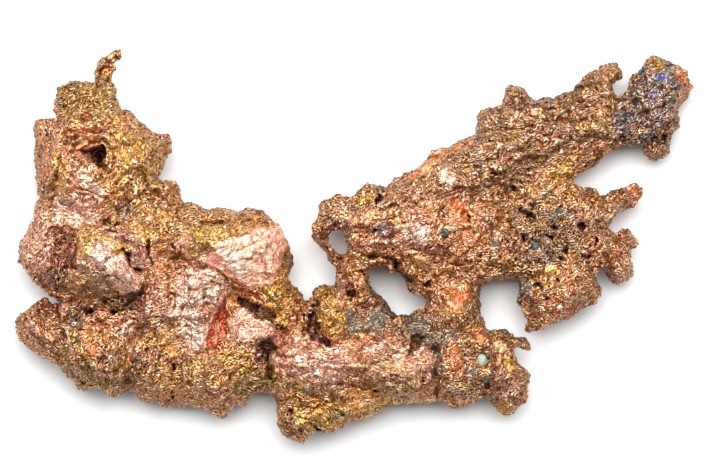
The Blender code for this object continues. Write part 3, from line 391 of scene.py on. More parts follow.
# Crisp areas, each left by a flake, a facet or a hollow: its colour and how fully it covers, how satin
# it is, how far it rises above the metal round it, how soft its rim is, and its outline. The near-black
# and dark maroon areas in the deep pits, the slots and the step under the block are painted shade.
AREAS = [
    # head
    ("salmon", 0.7, 0.2, 0.0, 0.5, [(-43.2, 14.5), (-41.8, 15.7), (-40.4, 15.1), (-40.0, 13.9),
        (-40.4, 12.5), (-42.2, 12.9)]),
    ("pale", 0.8, 0.3, 0.2, 0.4, [(-40.6, 11.9), (-39.4, 11.1), (-37.8, 9.3), (-36.8, 8.1), (-37.4, 7.3),
        (-38.8, 8.3), (-40.4, 10.1)]),
    ("gold", 0.7, 0.1, 0.1, 0.4, [(-43.8, 13.5), (-42.4, 13.1), (-41.8, 11.1), (-43.2, 10.1),
        (-44.2, 11.5)]),
    ("yellow", 0.7, 0.1, 0.1, 0.4, [(-38.1, 11.2), (-36.8, 11.3), (-36.1, 10.5), (-37.0, 9.8),
        (-38.0, 10.3)]),
    ("red", 0.7, 0.3, -0.1, 0.3, [(-42.6, 9.9), (-41.4, 9.7), (-40.8, 8.9), (-42.0, 9.0)]),
    ("red", 0.9, 0.4, -0.5, 0.3, [(-40.5, 19.1), (-39.5, 19.6), (-38.5, 19.3), (-38.7, 18.7),
        (-39.7, 18.2), (-40.4, 18.5)]),
    ("orange", 0.8, 0.3, -0.1, 0.3, [(-42.4, 17.1), (-40.6, 17.3), (-39.2, 17.5), (-39.8, 16.8),
        (-41.6, 16.6)]),
    # painted shade in the head's deep pit and beside it
    ("shade_black", 0.97, 0.0, -3.0, 0.5, [(-40.0, 14.2), (-38.4, 14.7), (-36.6, 14.7), (-36.4, 14.0),
        (-37.4, 12.7), (-38.0, 12.6), (-38.6, 13.3)]),
    ("shade_maroon", 0.9, 0.0, -1.6, 0.4, [(-39.6, 13.8), (-38.0, 12.9), (-36.5, 11.9), (-36.5, 11.2),
        (-37.8, 11.9), (-39.2, 13.0)]),
    ("pale", 0.7, 0.2, 0.15, 0.5, [(-44.2, 7.4), (-41.2, 7.7), (-38.7, 5.4), (-37.2, 4.1), (-39.7, 3.3),
        (-41.7, 2.3), (-44.0, 3.5)]),
    # left of the block
    ("rust", 0.85, 0.0, -0.5, 0.5, [(-44.2, 2.1), (-42.8, 2.9), (-40.8, 2.5), (-40.2, 0.4), (-40.8, -1.3),
        (-41.6, -2.9), (-42.7, -4.5), (-43.4, -7.1), (-44.8, -6.9), (-46.6, -5.1), (-47.4, -4.3),
        (-45.2, -3.7), (-44.4, -2.7), (-44.3, -0.1)]),
    ("yellow", 0.75, 0.2, 0.2, 0.3, [(-40.4, 3.5), (-38.2, 2.7), (-35.6, 1.5), (-33.4, 0.8), (-32.0, 0.3),
        (-32.8, -0.6), (-34.4, -1.1), (-35.2, -0.3), (-34.8, 0.8), (-37.6, 0.9), (-38.4, -0.7),
        (-38.8, -1.5), (-40.4, -1.7)]),
    ("pale", 0.65, 0.35, 0.1, 0.8, [(-38.4, -0.3), (-37.0, 0.9), (-34.8, 0.8), (-35.2, -0.9),
        (-33.8, -1.7), (-33.0, -3.3), (-31.6, -4.3), (-31.0, -5.3), (-32.4, -6.5), (-33.8, -7.1),
        (-35.0, -5.5), (-35.8, -3.7), (-37.6, -2.7), (-38.8, -1.7)]),
    ("gold", 0.8, 0.3, 0.0, 0.3, [(-34.8, 0.3), (-33.6, -0.5), (-33.6, -1.5), (-34.8, -1.3),
        (-35.4, -0.5)]),
    ("tan", 0.7, 0.2, 0.0, 0.4, [(-42.4, -4.1), (-40.4, -3.7), (-38.6, -3.3), (-36.6, -4.1), (-36.2, -5.7),
        (-37.6, -7.1), (-39.2, -7.5), (-41.2, -7.7), (-43.2, -7.5), (-42.8, -5.7)]),
    ("umber", 0.75, 0.0, -0.4, 0.5, [(-43.0, -9.3), (-40.6, -8.3), (-39.6, -9.1), (-40.0, -12.1),
        (-41.4, -12.7), (-42.8, -11.1)]),
    ("orange", 0.75, 0.4, 0.1, 0.3, [(-40.0, -12.5), (-38.8, -12.7), (-38.2, -14.1), (-37.2, -15.5),
        (-38.8, -16.1), (-39.8, -14.9), (-40.2, -13.7)]),
    ("ochre", 0.8, 0.1, 0.0, 0.3, [(-42.2, -11.7), (-40.6, -12.3), (-40.0, -14.5), (-39.2, -16.1),
        (-40.2, -16.5), (-42.2, -14.7), (-42.4, -13.1)]),
    ("bronze", 0.9, 0.4, -0.5, 0.5, [(-30.4, -11.1), (-30.0, -12.1), (-31.6, -13.5), (-32.6, -15.1),
        (-33.2, -17.6), (-33.4, -19.9), (-34.2, -19.7), (-34.0, -16.7), (-33.6, -14.3), (-32.2, -12.3)]),
    ("copper", 0.8, 0.4, 0.0, 0.4, [(-28.5, -11.9), (-26.8, -12.7), (-26.2, -15.1), (-26.6, -17.1),
        (-27.4, -16.5), (-28.1, -14.1)]),
    ("orange", 0.7, 0.3, -0.1, 0.4, [(-29.6, -1.9), (-28.4, -2.3), (-28.0, -3.7), (-29.0, -4.7),
        (-29.8, -3.5)]),
    # painted shade in the pits and along the step under the block
    ("shade_maroon", 0.8, 0.0, -0.3, 0.4, [(-39.9, -9.0), (-38.2, -8.8), (-38.0, -10.0), (-39.5, -10.4)]),
    ("shade_maroon", 0.75, 0.0, -0.3, 0.4, [(-36.9, -7.1), (-34.4, -7.4), (-31.6, -6.3), (-30.5, -4.9),
        (-31.1, -6.8), (-33.6, -8.5), (-36.4, -8.3)]),
    ("shade_maroon", 0.7, 0.0, -0.2, 0.4, [(-35.9, -9.0), (-33.8, -9.2), (-34.4, -10.2), (-35.8, -10.0)]),
    ("ochre", 0.8, 0.2, 0.0, 0.4, [(-27.8, -10.6), (-26.0, -10.6), (-25.2, -13.4), (-25.6, -15.6),
        (-27.0, -14.6), (-28.0, -12.6)]),
    # painted shade in the deep hole
    ("shade_maroon", 0.85, 0.0, -0.8, 0.4, [(-14.6, -13.4), (-12.2, -13.0), (-11.8, -15.0), (-13.0, -17.4),
        (-14.2, -17.2), (-14.4, -15.4)]),
    # shoulder
    ("pink", 0.95, 0.7, 0.2, 0.3, [(-22.9, -1.8), (-20.0, 0.7), (-17.6, 1.0), (-14.1, 2.6), (-11.1, 2.9),
        (-10.1, 0.0), (-11.1, -3.0), (-12.4, -5.8), (-15.8, -5.5), (-18.8, -4.2), (-20.6, -2.7)]),
    ("pale", 0.8, 0.7, 0.0, 0.8, [(-19.4, -0.6), (-16.6, -0.2), (-14.4, -3.0), (-16.4, -4.6),
        (-18.6, -3.2)]),
    ("salmon", 0.7, 0.5, 0.0, 0.5, [(-12.6, -0.2), (-10.4, -0.6), (-10.9, -3.0), (-12.2, -2.4)]),
    ("pink", 0.9, 0.6, 0.2, 0.3, [(-26.2, 0.4), (-24.7, 1.9), (-23.8, 1.2), (-24.6, -0.9), (-26.2, -0.9)]),
    ("olive", 0.7, 0.3, 0.0, 0.5, [(-23.7, 2.9), (-20.0, 2.9), (-20.0, 0.9), (-21.2, -1.2), (-22.9, -1.5),
        (-24.4, -0.3)]),
    ("ochre", 0.8, 0.3, 0.0, 0.4, [(-22.6, 0.4), (-20.6, 0.2), (-21.2, -1.2), (-22.8, -1.2)]),
    ("pale", 0.7, 0.3, 0.0, 1.1, [(-23.8, -3.0), (-21.8, -2.8), (-18.8, -5.1), (-19.1, -7.4),
        (-22.1, -14.5), (-24.4, -15.1), (-25.6, -11.6), (-28.0, -8.6), (-28.2, -5.7), (-25.9, -4.2)]),
    ("pale", 0.6, 0.35, 0.55, 1.2, [(-26.6, -9.8), (-24.0, -9.2), (-21.4, -9.6), (-21.4, -12.0),
        (-22.6, -14.9), (-24.4, -15.3), (-26.2, -12.8)]),
    ("salmon", 0.7, 0.2, 0.0, 0.5, [(-28.0, -5.4), (-26.6, -4.6), (-25.8, -6.6), (-26.6, -9.4),
        (-27.8, -8.6)]),
    ("orange", 0.6, 0.2, -0.1, 0.4, [(-27.4, -6.2), (-26.8, -6.0), (-26.6, -8.0), (-27.4, -8.4)]),
    ("salmon", 0.6, 0.2, 0.0, 0.5, [(-23.0, -9.2), (-21.0, -8.4), (-20.6, -9.8), (-22.2, -11.4),
        (-23.4, -10.6)]),
    ("red", 0.95, 0.6, -1.0, 0.35, [(-19.1, -7.4), (-18.8, -10.7), (-19.2, -13.7), (-20.9, -15.1),
        (-22.3, -15.1), (-21.8, -12.2), (-20.3, -9.2)]),
    ("orange", 0.6, 0.6, 0.0, 0.5, [(-19.2, -8.6), (-19.0, -10.7), (-19.4, -13.2), (-20.2, -12.6),
        (-19.8, -9.8)]),
    ("red", 0.9, 0.5, -0.3, 0.3, [(-16.6, -5.8), (-14.1, -7.1), (-13.2, -8.6), (-15.2, -7.1),
        (-17.0, -6.8)]),
    # painted shade in the slot and the holes at its end
    ("shade_maroon", 0.97, 0.0, -2.4, 0.5, [(-17.3, -7.4), (-15.8, -7.7), (-12.0, -9.5), (-12.3, -11.0),
        (-14.3, -10.4), (-17.0, -8.6)]),
    ("shade_maroon", 0.9, 0.0, -0.8, 0.4, [(-12.2, -11.3), (-10.6, -11.9), (-9.9, -12.4), (-11.6, -12.7)]),
    ("pink", 0.85, 0.3, 0.1, 0.4, [(-18.7, -10.9), (-16.2, -9.1), (-12.3, -12.2), (-13.5, -13.7),
        (-17.9, -14.0)]),
    ("shade_maroon", 0.95, 0.0, -1.6, 0.4, [(-14.1, -14.0), (-12.9, -13.4), (-11.7, -14.5), (-12.3, -15.7),
        (-13.7, -15.3)]),
    # arm
    ("gold", 0.9, 0.1, 0.2, 0.3, [(-5.6, -6.1), (-4.2, -6.1), (-3.0, -7.5), (-2.6, -9.1), (-1.6, -10.5),
        (-2.0, -12.5), (-2.8, -13.5), (-4.4, -12.7), (-5.0, -10.7), (-5.4, -8.5)]),
    # painted shade in the arm's deep hollow
    ("shade_maroon", 0.95, 0.1, -1.8, 0.4, [(-6.8, -10.2), (-5.6, -9.8), (-5.2, -11.1), (-4.4, -12.3),
        (-3.6, -13.7), (-3.5, -14.7), (-4.4, -14.7), (-5.2, -13.7), (-6.6, -13.7), (-7.6, -12.2),
        (-6.9, -11.3)]),
    ("pale", 0.6, 0.3, 0.1, 0.4, [(-6.2, -18.1), (-4.0, -18.7), (-1.4, -20.3), (-2.6, -20.5),
        (-5.4, -19.1)]),
    ("ochre", 0.9, 0.5, 0.15, 0.3, [(-2.4, -22.5), (-0.6, -21.7), (1.6, -21.9), (3.2, -22.9), (3.6, -23.9),
        (2.2, -24.1), (0.4, -24.1), (-1.0, -23.7)]),
    ("bronze", 0.8, 0.6, 0.0, 0.3, [(-0.9, -22.4), (0.6, -22.4), (1.9, -23.2), (1.2, -23.6),
        (-0.3, -23.1)]),
    ("tan", 0.8, 0.5, 0.0, 0.4, [(3.0, -16.9), (4.6, -16.5), (6.0, -17.1), (5.8, -18.3), (4.2, -18.7),
        (3.2, -18.1)]),
    ("pale", 0.7, 0.4, 0.1, 0.3, [(0.8, -15.5), (2.8, -14.5), (4.8, -13.6), (4.6, -14.4), (2.4, -15.7),
        (1.2, -16.1)]),
    ("pink", 0.7, 0.4, 0.0, 0.4, [(6.2, -15.0), (8.0, -13.8), (9.0, -16.2), (9.2, -18.6), (7.0, -18.7),
        (5.9, -17.2)]),
    ("tan", 0.7, 0.4, 0.0, 0.4, [(4.0, -21.6), (8.0, -20.9), (11.4, -22.0), (12.0, -23.6), (10.0, -23.2),
        (6.8, -22.0), (4.6, -23.0)]),
    ("yellow", 0.7, 0.1, 0.1, 0.5, [(-9.2, -23.9), (-4.2, -24.1), (-1.8, -24.1), (-3.0, -26.7),
        (-5.0, -26.1), (-7.0, -25.9), (-9.2, -26.1)]),
    ("rust", 0.6, 0.0, -0.1, 0.5, [(-11.6, -25.6), (-9.4, -25.4), (-7.8, -27.4), (-9.6, -27.9)]),
    # the arm's end
    ("orange", 0.85, 0.5, 0.1, 0.3, [(12.4, -9.3), (13.2, -9.1), (13.8, -7.9), (15.6, -6.5), (16.9, -6.5),
        (16.8, -7.3), (15.8, -8.7), (15.2, -10.2), (14.2, -9.7), (12.4, -10.0)]),
    ("peach", 0.8, 0.4, 0.1, 0.3, [(12.6, -9.6), (13.6, -9.0), (15.0, -9.4), (14.6, -10.2),
        (13.0, -10.1)]),
    ("orange", 0.8, 0.5, 0.0, 0.3, [(17.4, -12.7), (18.6, -12.3), (19.6, -13.3), (19.2, -14.3),
        (18.2, -14.1)]),
    # painted shade in the deep hole at the arm's end
    ("shade_black", 0.97, 0.0, -1.8, 0.4, [(8.4, -12.9), (9.4, -13.0), (10.2, -13.5), (9.6, -14.1), (9.2, -15.1),
        (8.8, -16.1), (7.8, -16.1), (8.1, -14.7), (8.2, -13.7)]),
    ("umber", 0.8, 0.0, -0.5, 0.4, [(9.6, -13.2), (11.6, -13.0), (12.2, -14.4), (12.0, -15.6),
        (11.2, -14.6), (10.0, -14.4)]),
    ("pink", 0.8, 0.3, 0.3, 0.3, [(9.2, -16.7), (9.8, -15.3), (11.0, -14.5), (11.4, -15.5), (11.6, -17.5),
        (10.4, -18.1), (9.4, -17.7)]),
    ("gold", 0.8, 0.3, 0.0, 0.3, [(9.4, -16.5), (10.2, -15.8), (10.7, -16.4), (10.0, -17.0)]),
    ("orange", 0.9, 0.5, 0.5, 0.3, [(14.4, -15.0), (15.2, -14.9), (15.8, -16.0), (15.7, -17.6),
        (14.9, -18.1), (14.2, -17.6), (13.9, -16.3)]),
    ("peach", 0.85, 0.5, 0.2, 0.3, [(20.4, -14.3), (21.6, -13.9), (22.8, -14.9), (22.0, -15.7),
        (20.9, -15.6)]),
    ("gold", 0.8, 0.3, 0.1, 0.3, [(21.6, -15.9), (22.8, -16.3), (24.2, -18.1), (22.8, -18.2),
        (21.8, -17.1)]),
    ("gold", 0.7, 0.1, 0.0, 0.5, [(21.0, -22.7), (22.6, -22.3), (23.2, -24.1), (22.4, -25.5),
        (21.2, -24.7)]),
    ("gold", 0.8, 0.1, 0.0, 0.4, [(14.8, -20.1), (16.2, -19.7), (17.4, -21.0), (16.0, -21.2)]),
    # the wing's left
    ("rust", 0.9, 0.2, 0.0, 0.3, [(-4.0, -0.4), (-2.6, -0.2), (-1.8, -1.1), (-2.4, -2.0), (-3.8, -2.0)]),
    ("rust", 0.8, 0.1, -0.2, 0.3, [(-4.6, 4.0), (-3.8, 4.2), (-2.0, 3.6), (-2.4, 3.2), (-4.0, 3.2)]),
    ("gold", 0.9, 0.2, 0.1, 0.3, [(0.2, 5.7), (0.6, 6.9), (2.4, 8.1), (3.3, 7.5), (2.8, 6.5), (1.6, 6.5)]),
    ("umber", 0.8, 0.0, -0.2, 0.4, [(3.2, 8.6), (4.2, 9.0), (4.5, 7.6), (3.9, 6.6), (3.0, 7.2)]),
    ("pale", 0.8, 0.2, 0.1, 0.5, [(5.6, 2.9), (8.2, 3.4), (11.0, 2.8), (11.4, 1.0), (9.0, 0.4), (7.2, 1.4),
        (5.8, 2.0)]),
    ("red", 0.85, 0.3, -0.1, 0.4, [(5.6, 1.9), (6.6, 2.0), (7.0, 1.3), (5.9, 1.2)]),
    ("red", 0.7, 0.1, -0.1, 0.3, [(9.4, 3.5), (10.4, 3.9), (10.8, 3.1), (10.2, 3.0)]),
    ("peach", 0.7, 0.3, 0.1, 0.4, [(8.6, -1.4), (10.4, -1.4), (11.6, -3.2), (11.0, -3.9), (9.2, -2.9)]),
    ("umber", 0.7, 0.0, -0.2, 0.6, [(12.0, 6.1), (13.4, 6.1), (14.0, 4.7), (13.0, 3.8), (11.9, 4.2)]),
    ("orange", 0.85, 0.4, -0.1, 0.5, [(13.4, 6.7), (14.8, 7.3), (15.6, 6.7), (16.8, 5.3), (16.4, 2.9),
        (14.8, 3.7), (13.8, 4.9)]),
    ("red", 0.8, 0.3, -0.2, 0.4, [(14.0, 7.0), (15.0, 7.5), (15.2, 6.5), (14.2, 6.2)]),
    ("orange", 0.7, 0.2, 0.0, 0.6, [(16.0, 1.7), (18.2, 1.9), (18.6, 0.5), (17.0, 0.1), (15.8, 0.7)]),
    ("pale", 0.75, 0.3, 0.1, 0.5, [(12.0, 11.1), (13.2, 12.3), (14.8, 11.1), (15.4, 9.9), (13.8, 9.1),
        (12.2, 9.7)]),
    ("salmon", 0.6, 0.6, 0.0, 0.5, [(7.0, 10.2), (8.3, 10.6), (10.0, 12.2), (12.0, 13.8), (14.0, 14.7),
        (17.4, 16.0), (17.6, 14.9), (14.2, 13.5), (11.4, 11.9), (9.0, 9.8)]),
    ("red", 0.8, 0.2, -0.2, 0.4, [(14.9, 8.1), (15.3, 9.3), (15.9, 9.1), (15.7, 8.1)]),
    # the wing
    ("rust", 0.85, 0.2, -0.3, 0.4, [(24.9, 11.7), (26.4, 11.9), (27.4, 10.9), (26.4, 10.2), (25.2, 10.4)]),
    ("yellow", 0.8, 0.1, 0.1, 0.4, [(29.4, 11.9), (30.8, 12.3), (31.6, 11.1), (30.8, 10.1), (29.6, 10.7)]),
    ("yellow", 0.95, 0.5, 0.2, 0.3, [(27.9, -2.9), (29.8, -2.9), (29.9, -3.7), (28.3, -3.9)]),
    ("gold", 0.9, 0.2, 0.1, 0.3, [(25.0, -8.3), (26.4, -8.5), (26.7, -9.9), (25.4, -9.7)]),
    ("red", 0.8, 0.2, -0.2, 0.4, [(32.7, 3.4), (33.6, 3.8), (34.2, 2.8), (33.4, 2.2)]),
    ("red", 0.7, 0.1, -0.1, 0.4, [(31.6, -8.4), (33.0, -8.3), (33.4, -9.2), (31.8, -9.3)]),
    ("rust", 0.8, 0.1, -0.1, 0.4, [(37.2, -1.2), (37.9, -1.8), (38.6, -4.6), (37.9, -4.2), (37.2, -2.6)]),
    ("orange", 0.95, 0.4, 0.0, 0.3, [(40.4, 8.3), (41.8, 8.9), (42.0, 8.2), (41.0, 7.6), (40.4, 7.9)]),
    # the tip
    ("violet", 0.95, 0.1, 0.0, 0.5, [(44.6, 25.7), (46.0, 26.0), (46.6, 25.1), (46.0, 24.5),
        (44.6, 24.7)]),
    ("violet", 0.9, 0.1, 0.0, 0.4, [(43.9, 22.9), (45.5, 22.8), (45.1, 22.1), (44.1, 22.3)]),
    ("orange", 0.95, 0.3, 0.0, 0.4, [(47.6, 26.7), (49.2, 26.1), (49.4, 24.5), (48.2, 23.9),
        (47.6, 25.1)]),
    ("ochre", 0.8, 0.1, 0.0, 0.5, [(43.5, 27.9), (44.9, 28.1), (46.2, 27.1), (45.2, 26.1), (43.6, 25.7)]),
    ("red", 0.6, 0.1, 0.0, 0.5, [(45.8, 20.7), (47.4, 21.2), (47.0, 20.1)]),
    ("umber", 0.8, 0.0, 0.0, 0.4, [(41.4, 25.0), (42.8, 25.5), (42.4, 24.3), (41.2, 24.0)]),
]
# Mineral dust that dulls the metal: ovals as above. The ovals at (-2.6, -6.8) and (-5.9, -8.9) are
# painted shade instead: the shaded floor as seen through a gap, in the same colours.
DUST_AND_SHADE_COLOURS = ("#141C19", "#6E8278")
DUST_AND_GAP_SHADE = [
    (-0.4, -11.0, 1.2, 2.4, 0, 1.0), (3.0, -11.2, 2.2, 2.0, 0, 0.9), (25.5, -6.0, 0.9, 2.0, 0, 0.85),
    (15.0, -21.9, 0.9, 0.9, 0, 0.8), (-2.8, -24.9, 0.9, 0.6, 0, 0.9), (-34.9, -16.3, 0.9, 0.8, 0, 0.5),
    (16.8, -18.8, 0.9, 1.2, 0, 0.8), (9.6, -12.2, 3.2, 1.5, -10, 0.65), (13.6, -13.2, 2.2, 1.4, 0, 0.7),
    (12.8, -16.4, 0.8, 2.4, 0, 0.7), (27.0, 0.6, 1.4, 1.4, 0, 0.6), (30.0, 5.2, 0.9, 0.9, 0, 0.75),
    # the last two ovals here are painted shade of the floor under two gaps
    (13.2, 2.3, 1.2, 1.0, 0, 0.7), (-2.6, -6.8, 0.5, 0.8, 0, 0.8), (-5.9, -8.9, 0.5, 0.8, 0, 0.8),
    (20.7, 0.4, 0.9, 0.7, 0, 0.7), (10.4, -10.6, 1.8, 0.8, 0, 0.5), (-5.6, 1.8, 0.4, 0.9, 0, 0.7),
    (28.6, -2.4, 0.8, 1.0, 0, 0.4), (-45.2, 3.9, 0.4, 0.4, 0, 0.5), (19.4, -19.8, 0.8, 1.0, 0, 0.7),
    (-0.8, 6.2, 0.6, 0.6, 0, 0.6), (9.0, 4.4, 0.5, 0.5, 0, 0.6), (-11.0, -4.0, 0.3, 0.3, 0, 0.4),
]
# The finished skin is parted at these limits in plan, so that each piece stays a light mesh:
# name, lowest and highest x, lowest and highest y.
FAR = 80.0
PIECES = {
    "copper_head": (-FAR, -11.0, 2.5, FAR),
    "copper_block": (-FAR, -27.5, -FAR, 2.5),
    "copper_shoulder": (-27.5, -11.0, -FAR, 2.5),
    "copper_arm": (-11.0, FAR, -FAR, -9.5),
    "copper_wing": (-11.0, 22.0, -9.5, FAR),
    "copper_wing_tip": (22.0, FAR, -9.5, FAR),
}


def joined_copy(node):
    """A CAD node's shape with its loose triangles joined."""
    shape = bmesh.new()
    shape.from_mesh(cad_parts[node].data)
    bmesh.ops.remove_doubles(shape, verts=shape.verts, dist=0.002 * MM)
    return shape


def baked(holder):
    """The object's mesh with its modifiers applied, which then take its place."""
    graph = bpy.context.evaluated_depsgraph_get()
    mesh = bpy.data.meshes.new_from_object(holder.evaluated_get(graph))
    holder.modifiers.clear()
    holder.data = mesh
    return mesh


def vectors(mesh, name):
    """A point attribute of three numbers, one row a point."""
    source = mesh.attributes[name].data if name in mesh.attributes else mesh.vertex_normals
    values = np.empty(len(mesh.vertices) * 3, dtype=np.float32)
    source.foreach_get("vector", values)
    return values.reshape(-1, 3).astype(float)


def keep(mesh, name, values):
    """Store one number a point, for the material to read."""
    layer = mesh.attributes.new(name, "FLOAT", "POINT")
    layer.data.foreach_set("value", values.astype(np.float32))


def in_oval(plan, x, y, half_length, half_width, turn):
    """How far inside an oval each point lies: 1 at its middle, 0 at its edge and beyond."""
    c, s = math.cos(math.radians(turn)), math.sin(math.radians(turn))
    across, up = plan[:, 0] - x, plan[:, 1] - y
    u, v = (c * across + s * up) / half_length, (c * up - s * across) / half_width
    return np.clip(1 - u * u - v * v, 0, 1)


def off_line(plan, line):
    """The distance of each point from a line of points."""
    nearest = np.full(len(plan), np.inf)
    for start, end in zip(line, line[1:]):
        a, run = np.array(start), np.subtract(end, start)
        t = np.clip((plan - a) @ run / (run @ run), 0, 1)
        nearest = np.minimum(nearest, np.linalg.norm(plan - a - t[:, None] * run, axis=1))
    return nearest


def in_area(plan, outline, rim):
    """1 inside an outline and 0 outside, with a rim over which it falls away."""
    share = np.zeros(len(plan))
    west, south = np.min(outline, axis=0) - rim
    east, north = np.max(outline, axis=0) + rim
    near = (plan[:, 0] > west) & (plan[:, 0] < east) & (plan[:, 1] > south) & (plan[:, 1] < north)
    x, y = plan[near].T
    around = outline + outline[:1]
    inside = np.zeros(len(x), dtype=bool)
    for (this_x, this_y), (next_x, next_y) in zip(around, around[1:]):
        if this_y != next_y:
            level = (y > this_y) != (y > next_y)
            inside ^= level & (x < this_x + (y - this_y) * (next_x - this_x) / (next_y - this_y))
    depth = off_line(plan[near], around)
    part = np.clip(0.5 + np.where(inside, depth, -depth) / rim, 0, 1)
    share[near] = part * part * (3 - 2 * part)
    return share


def wander(points, size, seed):
    """A smooth random field of three values at each point, with waves about size long."""
    shift = Vector((13.7 * seed, 7.3 * seed, 3.1 * seed))
    return np.array([noise.noise_vector(Vector(p) / size + shift) for p in points])


def ragged(points):
    """The points in plan, in millimetres, moved a little so that what is drawn there has ragged edges."""
    flat = points * (1, 1, 0)
    broad, fine = wander(flat, 2.4 * MM, 1), wander(flat, 0.8 * MM, 4)
    return points[:, :2] / MM + 0.5 * broad[:, :2] + 0.34 * fine[:, :2]


def fused_skin():
    """The CAD solid with its pockets filled, as an even skin of small faces."""
    shape = joined_copy(COPPER_NODE)
    for grain in GRAIN_NODES:
        low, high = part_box(grain)
        half = (high - low) / 2
        fill = Matrix.Translation((low + high) / 2 - Vector((0, 0, 0.55 * half.z)))
        fill @= Matrix.Diagonal((half.x + 0.4 * MM, half.y + 0.4 * MM, 0.6 * half.z, 1))
        bmesh.ops.create_icosphere(shape, subdivisions=2, radius=1.0, matrix=fill)
    mesh = bpy.data.meshes.new("copper_skin")
    shape.to_mesh(mesh)
    shape.free()
    holder = bpy.data.objects.new("copper_skin", mesh)
    bpy.context.collection.objects.link(holder)
    remesh = holder.modifiers.new("even faces", "REMESH")
    remesh.mode = "VOXEL"
    remesh.voxel_size = SKIN_PITCH
    smooth = holder.modifiers.new("no facets", "SMOOTH")
    smooth.factor = 0.5
    smooth.iterations = 5
    baked(holder)
    return holder


def nudged(mesh):
    """Move the skin's edge to where the nugget's points, hooks and holes stand."""
    points = vectors(mesh, "position")
    for x, y, reach, right, up, spread in NUDGES:
        away = points[:, :2] / MM - (x, y)
        far = np.linalg.norm(away, axis=1)
        share = np.exp(-(far / reach) ** 2)[:, None]
        points[:, :2] += share * ((right, up) + spread * away / np.maximum(far, 0.3)[:, None]) * MM
    mesh.vertices.foreach_set("co", points.astype(np.float32).ravel())
    mesh.update()


def levelled(holder):
    """Fill the skin's wide hollows in part, so that its hills lie packed against each other."""
    level = holder.modifiers.new("level", "SMOOTH")
    level.use_x = False
    level.use_y = False
    level.factor = 0.5
    level.iterations = LEVEL_STEPS
    points, normals = vectors(holder.data, "position"), vectors(holder.data, "normal")
    even = holder.evaluated_get(bpy.context.evaluated_depsgraph_get()).data
    low = np.clip(vectors(even, "position")[:, 2] - points[:, 2], 0, None)
    holder.modifiers.clear()
    points[:, 2] += LEVEL_SHARE * low * np.clip((normals[:, 2] - 0.1) / 0.4, 0, 1)
    holder.data.vertices.foreach_set("co", points.astype(np.float32).ravel())
    holder.data.update()


def carve(mesh, plan):
    """Flow ridges, creases, pits and crisp areas on the upper side. Kept for the material: how satin
    each place is, how dark painted shade makes its creases and pits, and how far across the flow it lies."""
    points, normals = vectors(mesh, "position"), vectors(mesh, "normal")
    points += normals * SKIN_SWELL
    height, satin, crease_and_pit_shade = (np.zeros(len(points)) for _ in range(3))
    strongest = np.zeros(len(points))
    flow = plan @ (-math.sin(0.3), math.cos(0.3))
    for index, (oval, run, spacing, rise, smoothness) in enumerate(FLOWS):
        share = in_oval(plan, *oval)
        near = share > 0
        if isinstance(run, tuple):
            across = np.linalg.norm(plan[near] - run, axis=1)
        else:
            turn = math.radians(run)
            across = (plan[near] - oval[:2]) @ (-math.sin(turn), math.cos(turn))
        leads = share[near] > strongest[near]
        flow[near] = np.where(leads, across, flow[near])
        strongest = np.maximum(strongest, share)
        wave = 2 * wander(points[near], 5 * spacing * MM, 20 + index)[:, 0]
        ridge = 1 - 2 * np.abs(((across / spacing + wave) % 1) - 0.5) * 2
        strength = 0.6 + 1.2 * wander(points[near], 3 * MM, 50 + index)[:, 1]
        height[near] += 0.5 * rise * ridge * np.clip(strength, 0, 1) * np.sqrt(share[near])
        satin[near] = np.maximum(satin[near], smoothness * np.sqrt(share[near]))
    uneven = 1 + 0.9 * wander(points, 1.7 * MM, 6)[:, 0]
    # creases and veins are sunk, and painted shade darkens them
    for line, half_width, depth, dark in CREASES + [(vein, *VEIN) for vein in VEINS]:
        share = np.exp(-(off_line(plan, line) / (half_width * uneven)) ** 2)
        height -= depth * uneven * share
        crease_and_pit_shade = np.maximum(crease_and_pit_shade, dark * np.clip(1.4 * share - 0.2, 0, 1))
    torn = plan + 0.5 * wander(points, 0.55 * MM, 8)[:, :2]
    # pits are sunk, and painted shade darkens them
    for x, y, half_length, half_width, turn, depth in PITS:
        share = in_oval(torn, x, y, half_length, half_width, turn)
        height -= 0.8 * depth * share ** 0.6
        crease_and_pit_shade = np.maximum(crease_and_pit_shade, np.clip(1.6 * share, 0, 0.9))
    for _, _, smoothness, rise, rim, outline in AREAS:
        share = in_area(plan, outline, rim)
        height += rise * share
        satin += share * (smoothness - satin)
    upper = np.clip((normals[:, 2] + 0.1) / 0.5, 0, 1)
    points[:, 2] += height * upper * MM
    mesh.vertices.foreach_set("co", points.astype(np.float32).ravel())
    mesh.update()
    keep(mesh, "satin", satin)
    keep(mesh, "crease_and_pit_shade", crease_and_pit_shade)
    keep(mesh, "flow", flow)


def cover(plan, ovals):
    """How strongly a set of ovals covers each point."""
    share = np.zeros(len(plan))
    for *oval, strength in ovals:
        share = np.maximum(share, strength * np.clip(2.2 * in_oval(plan, *oval), 0, 1))
    return share


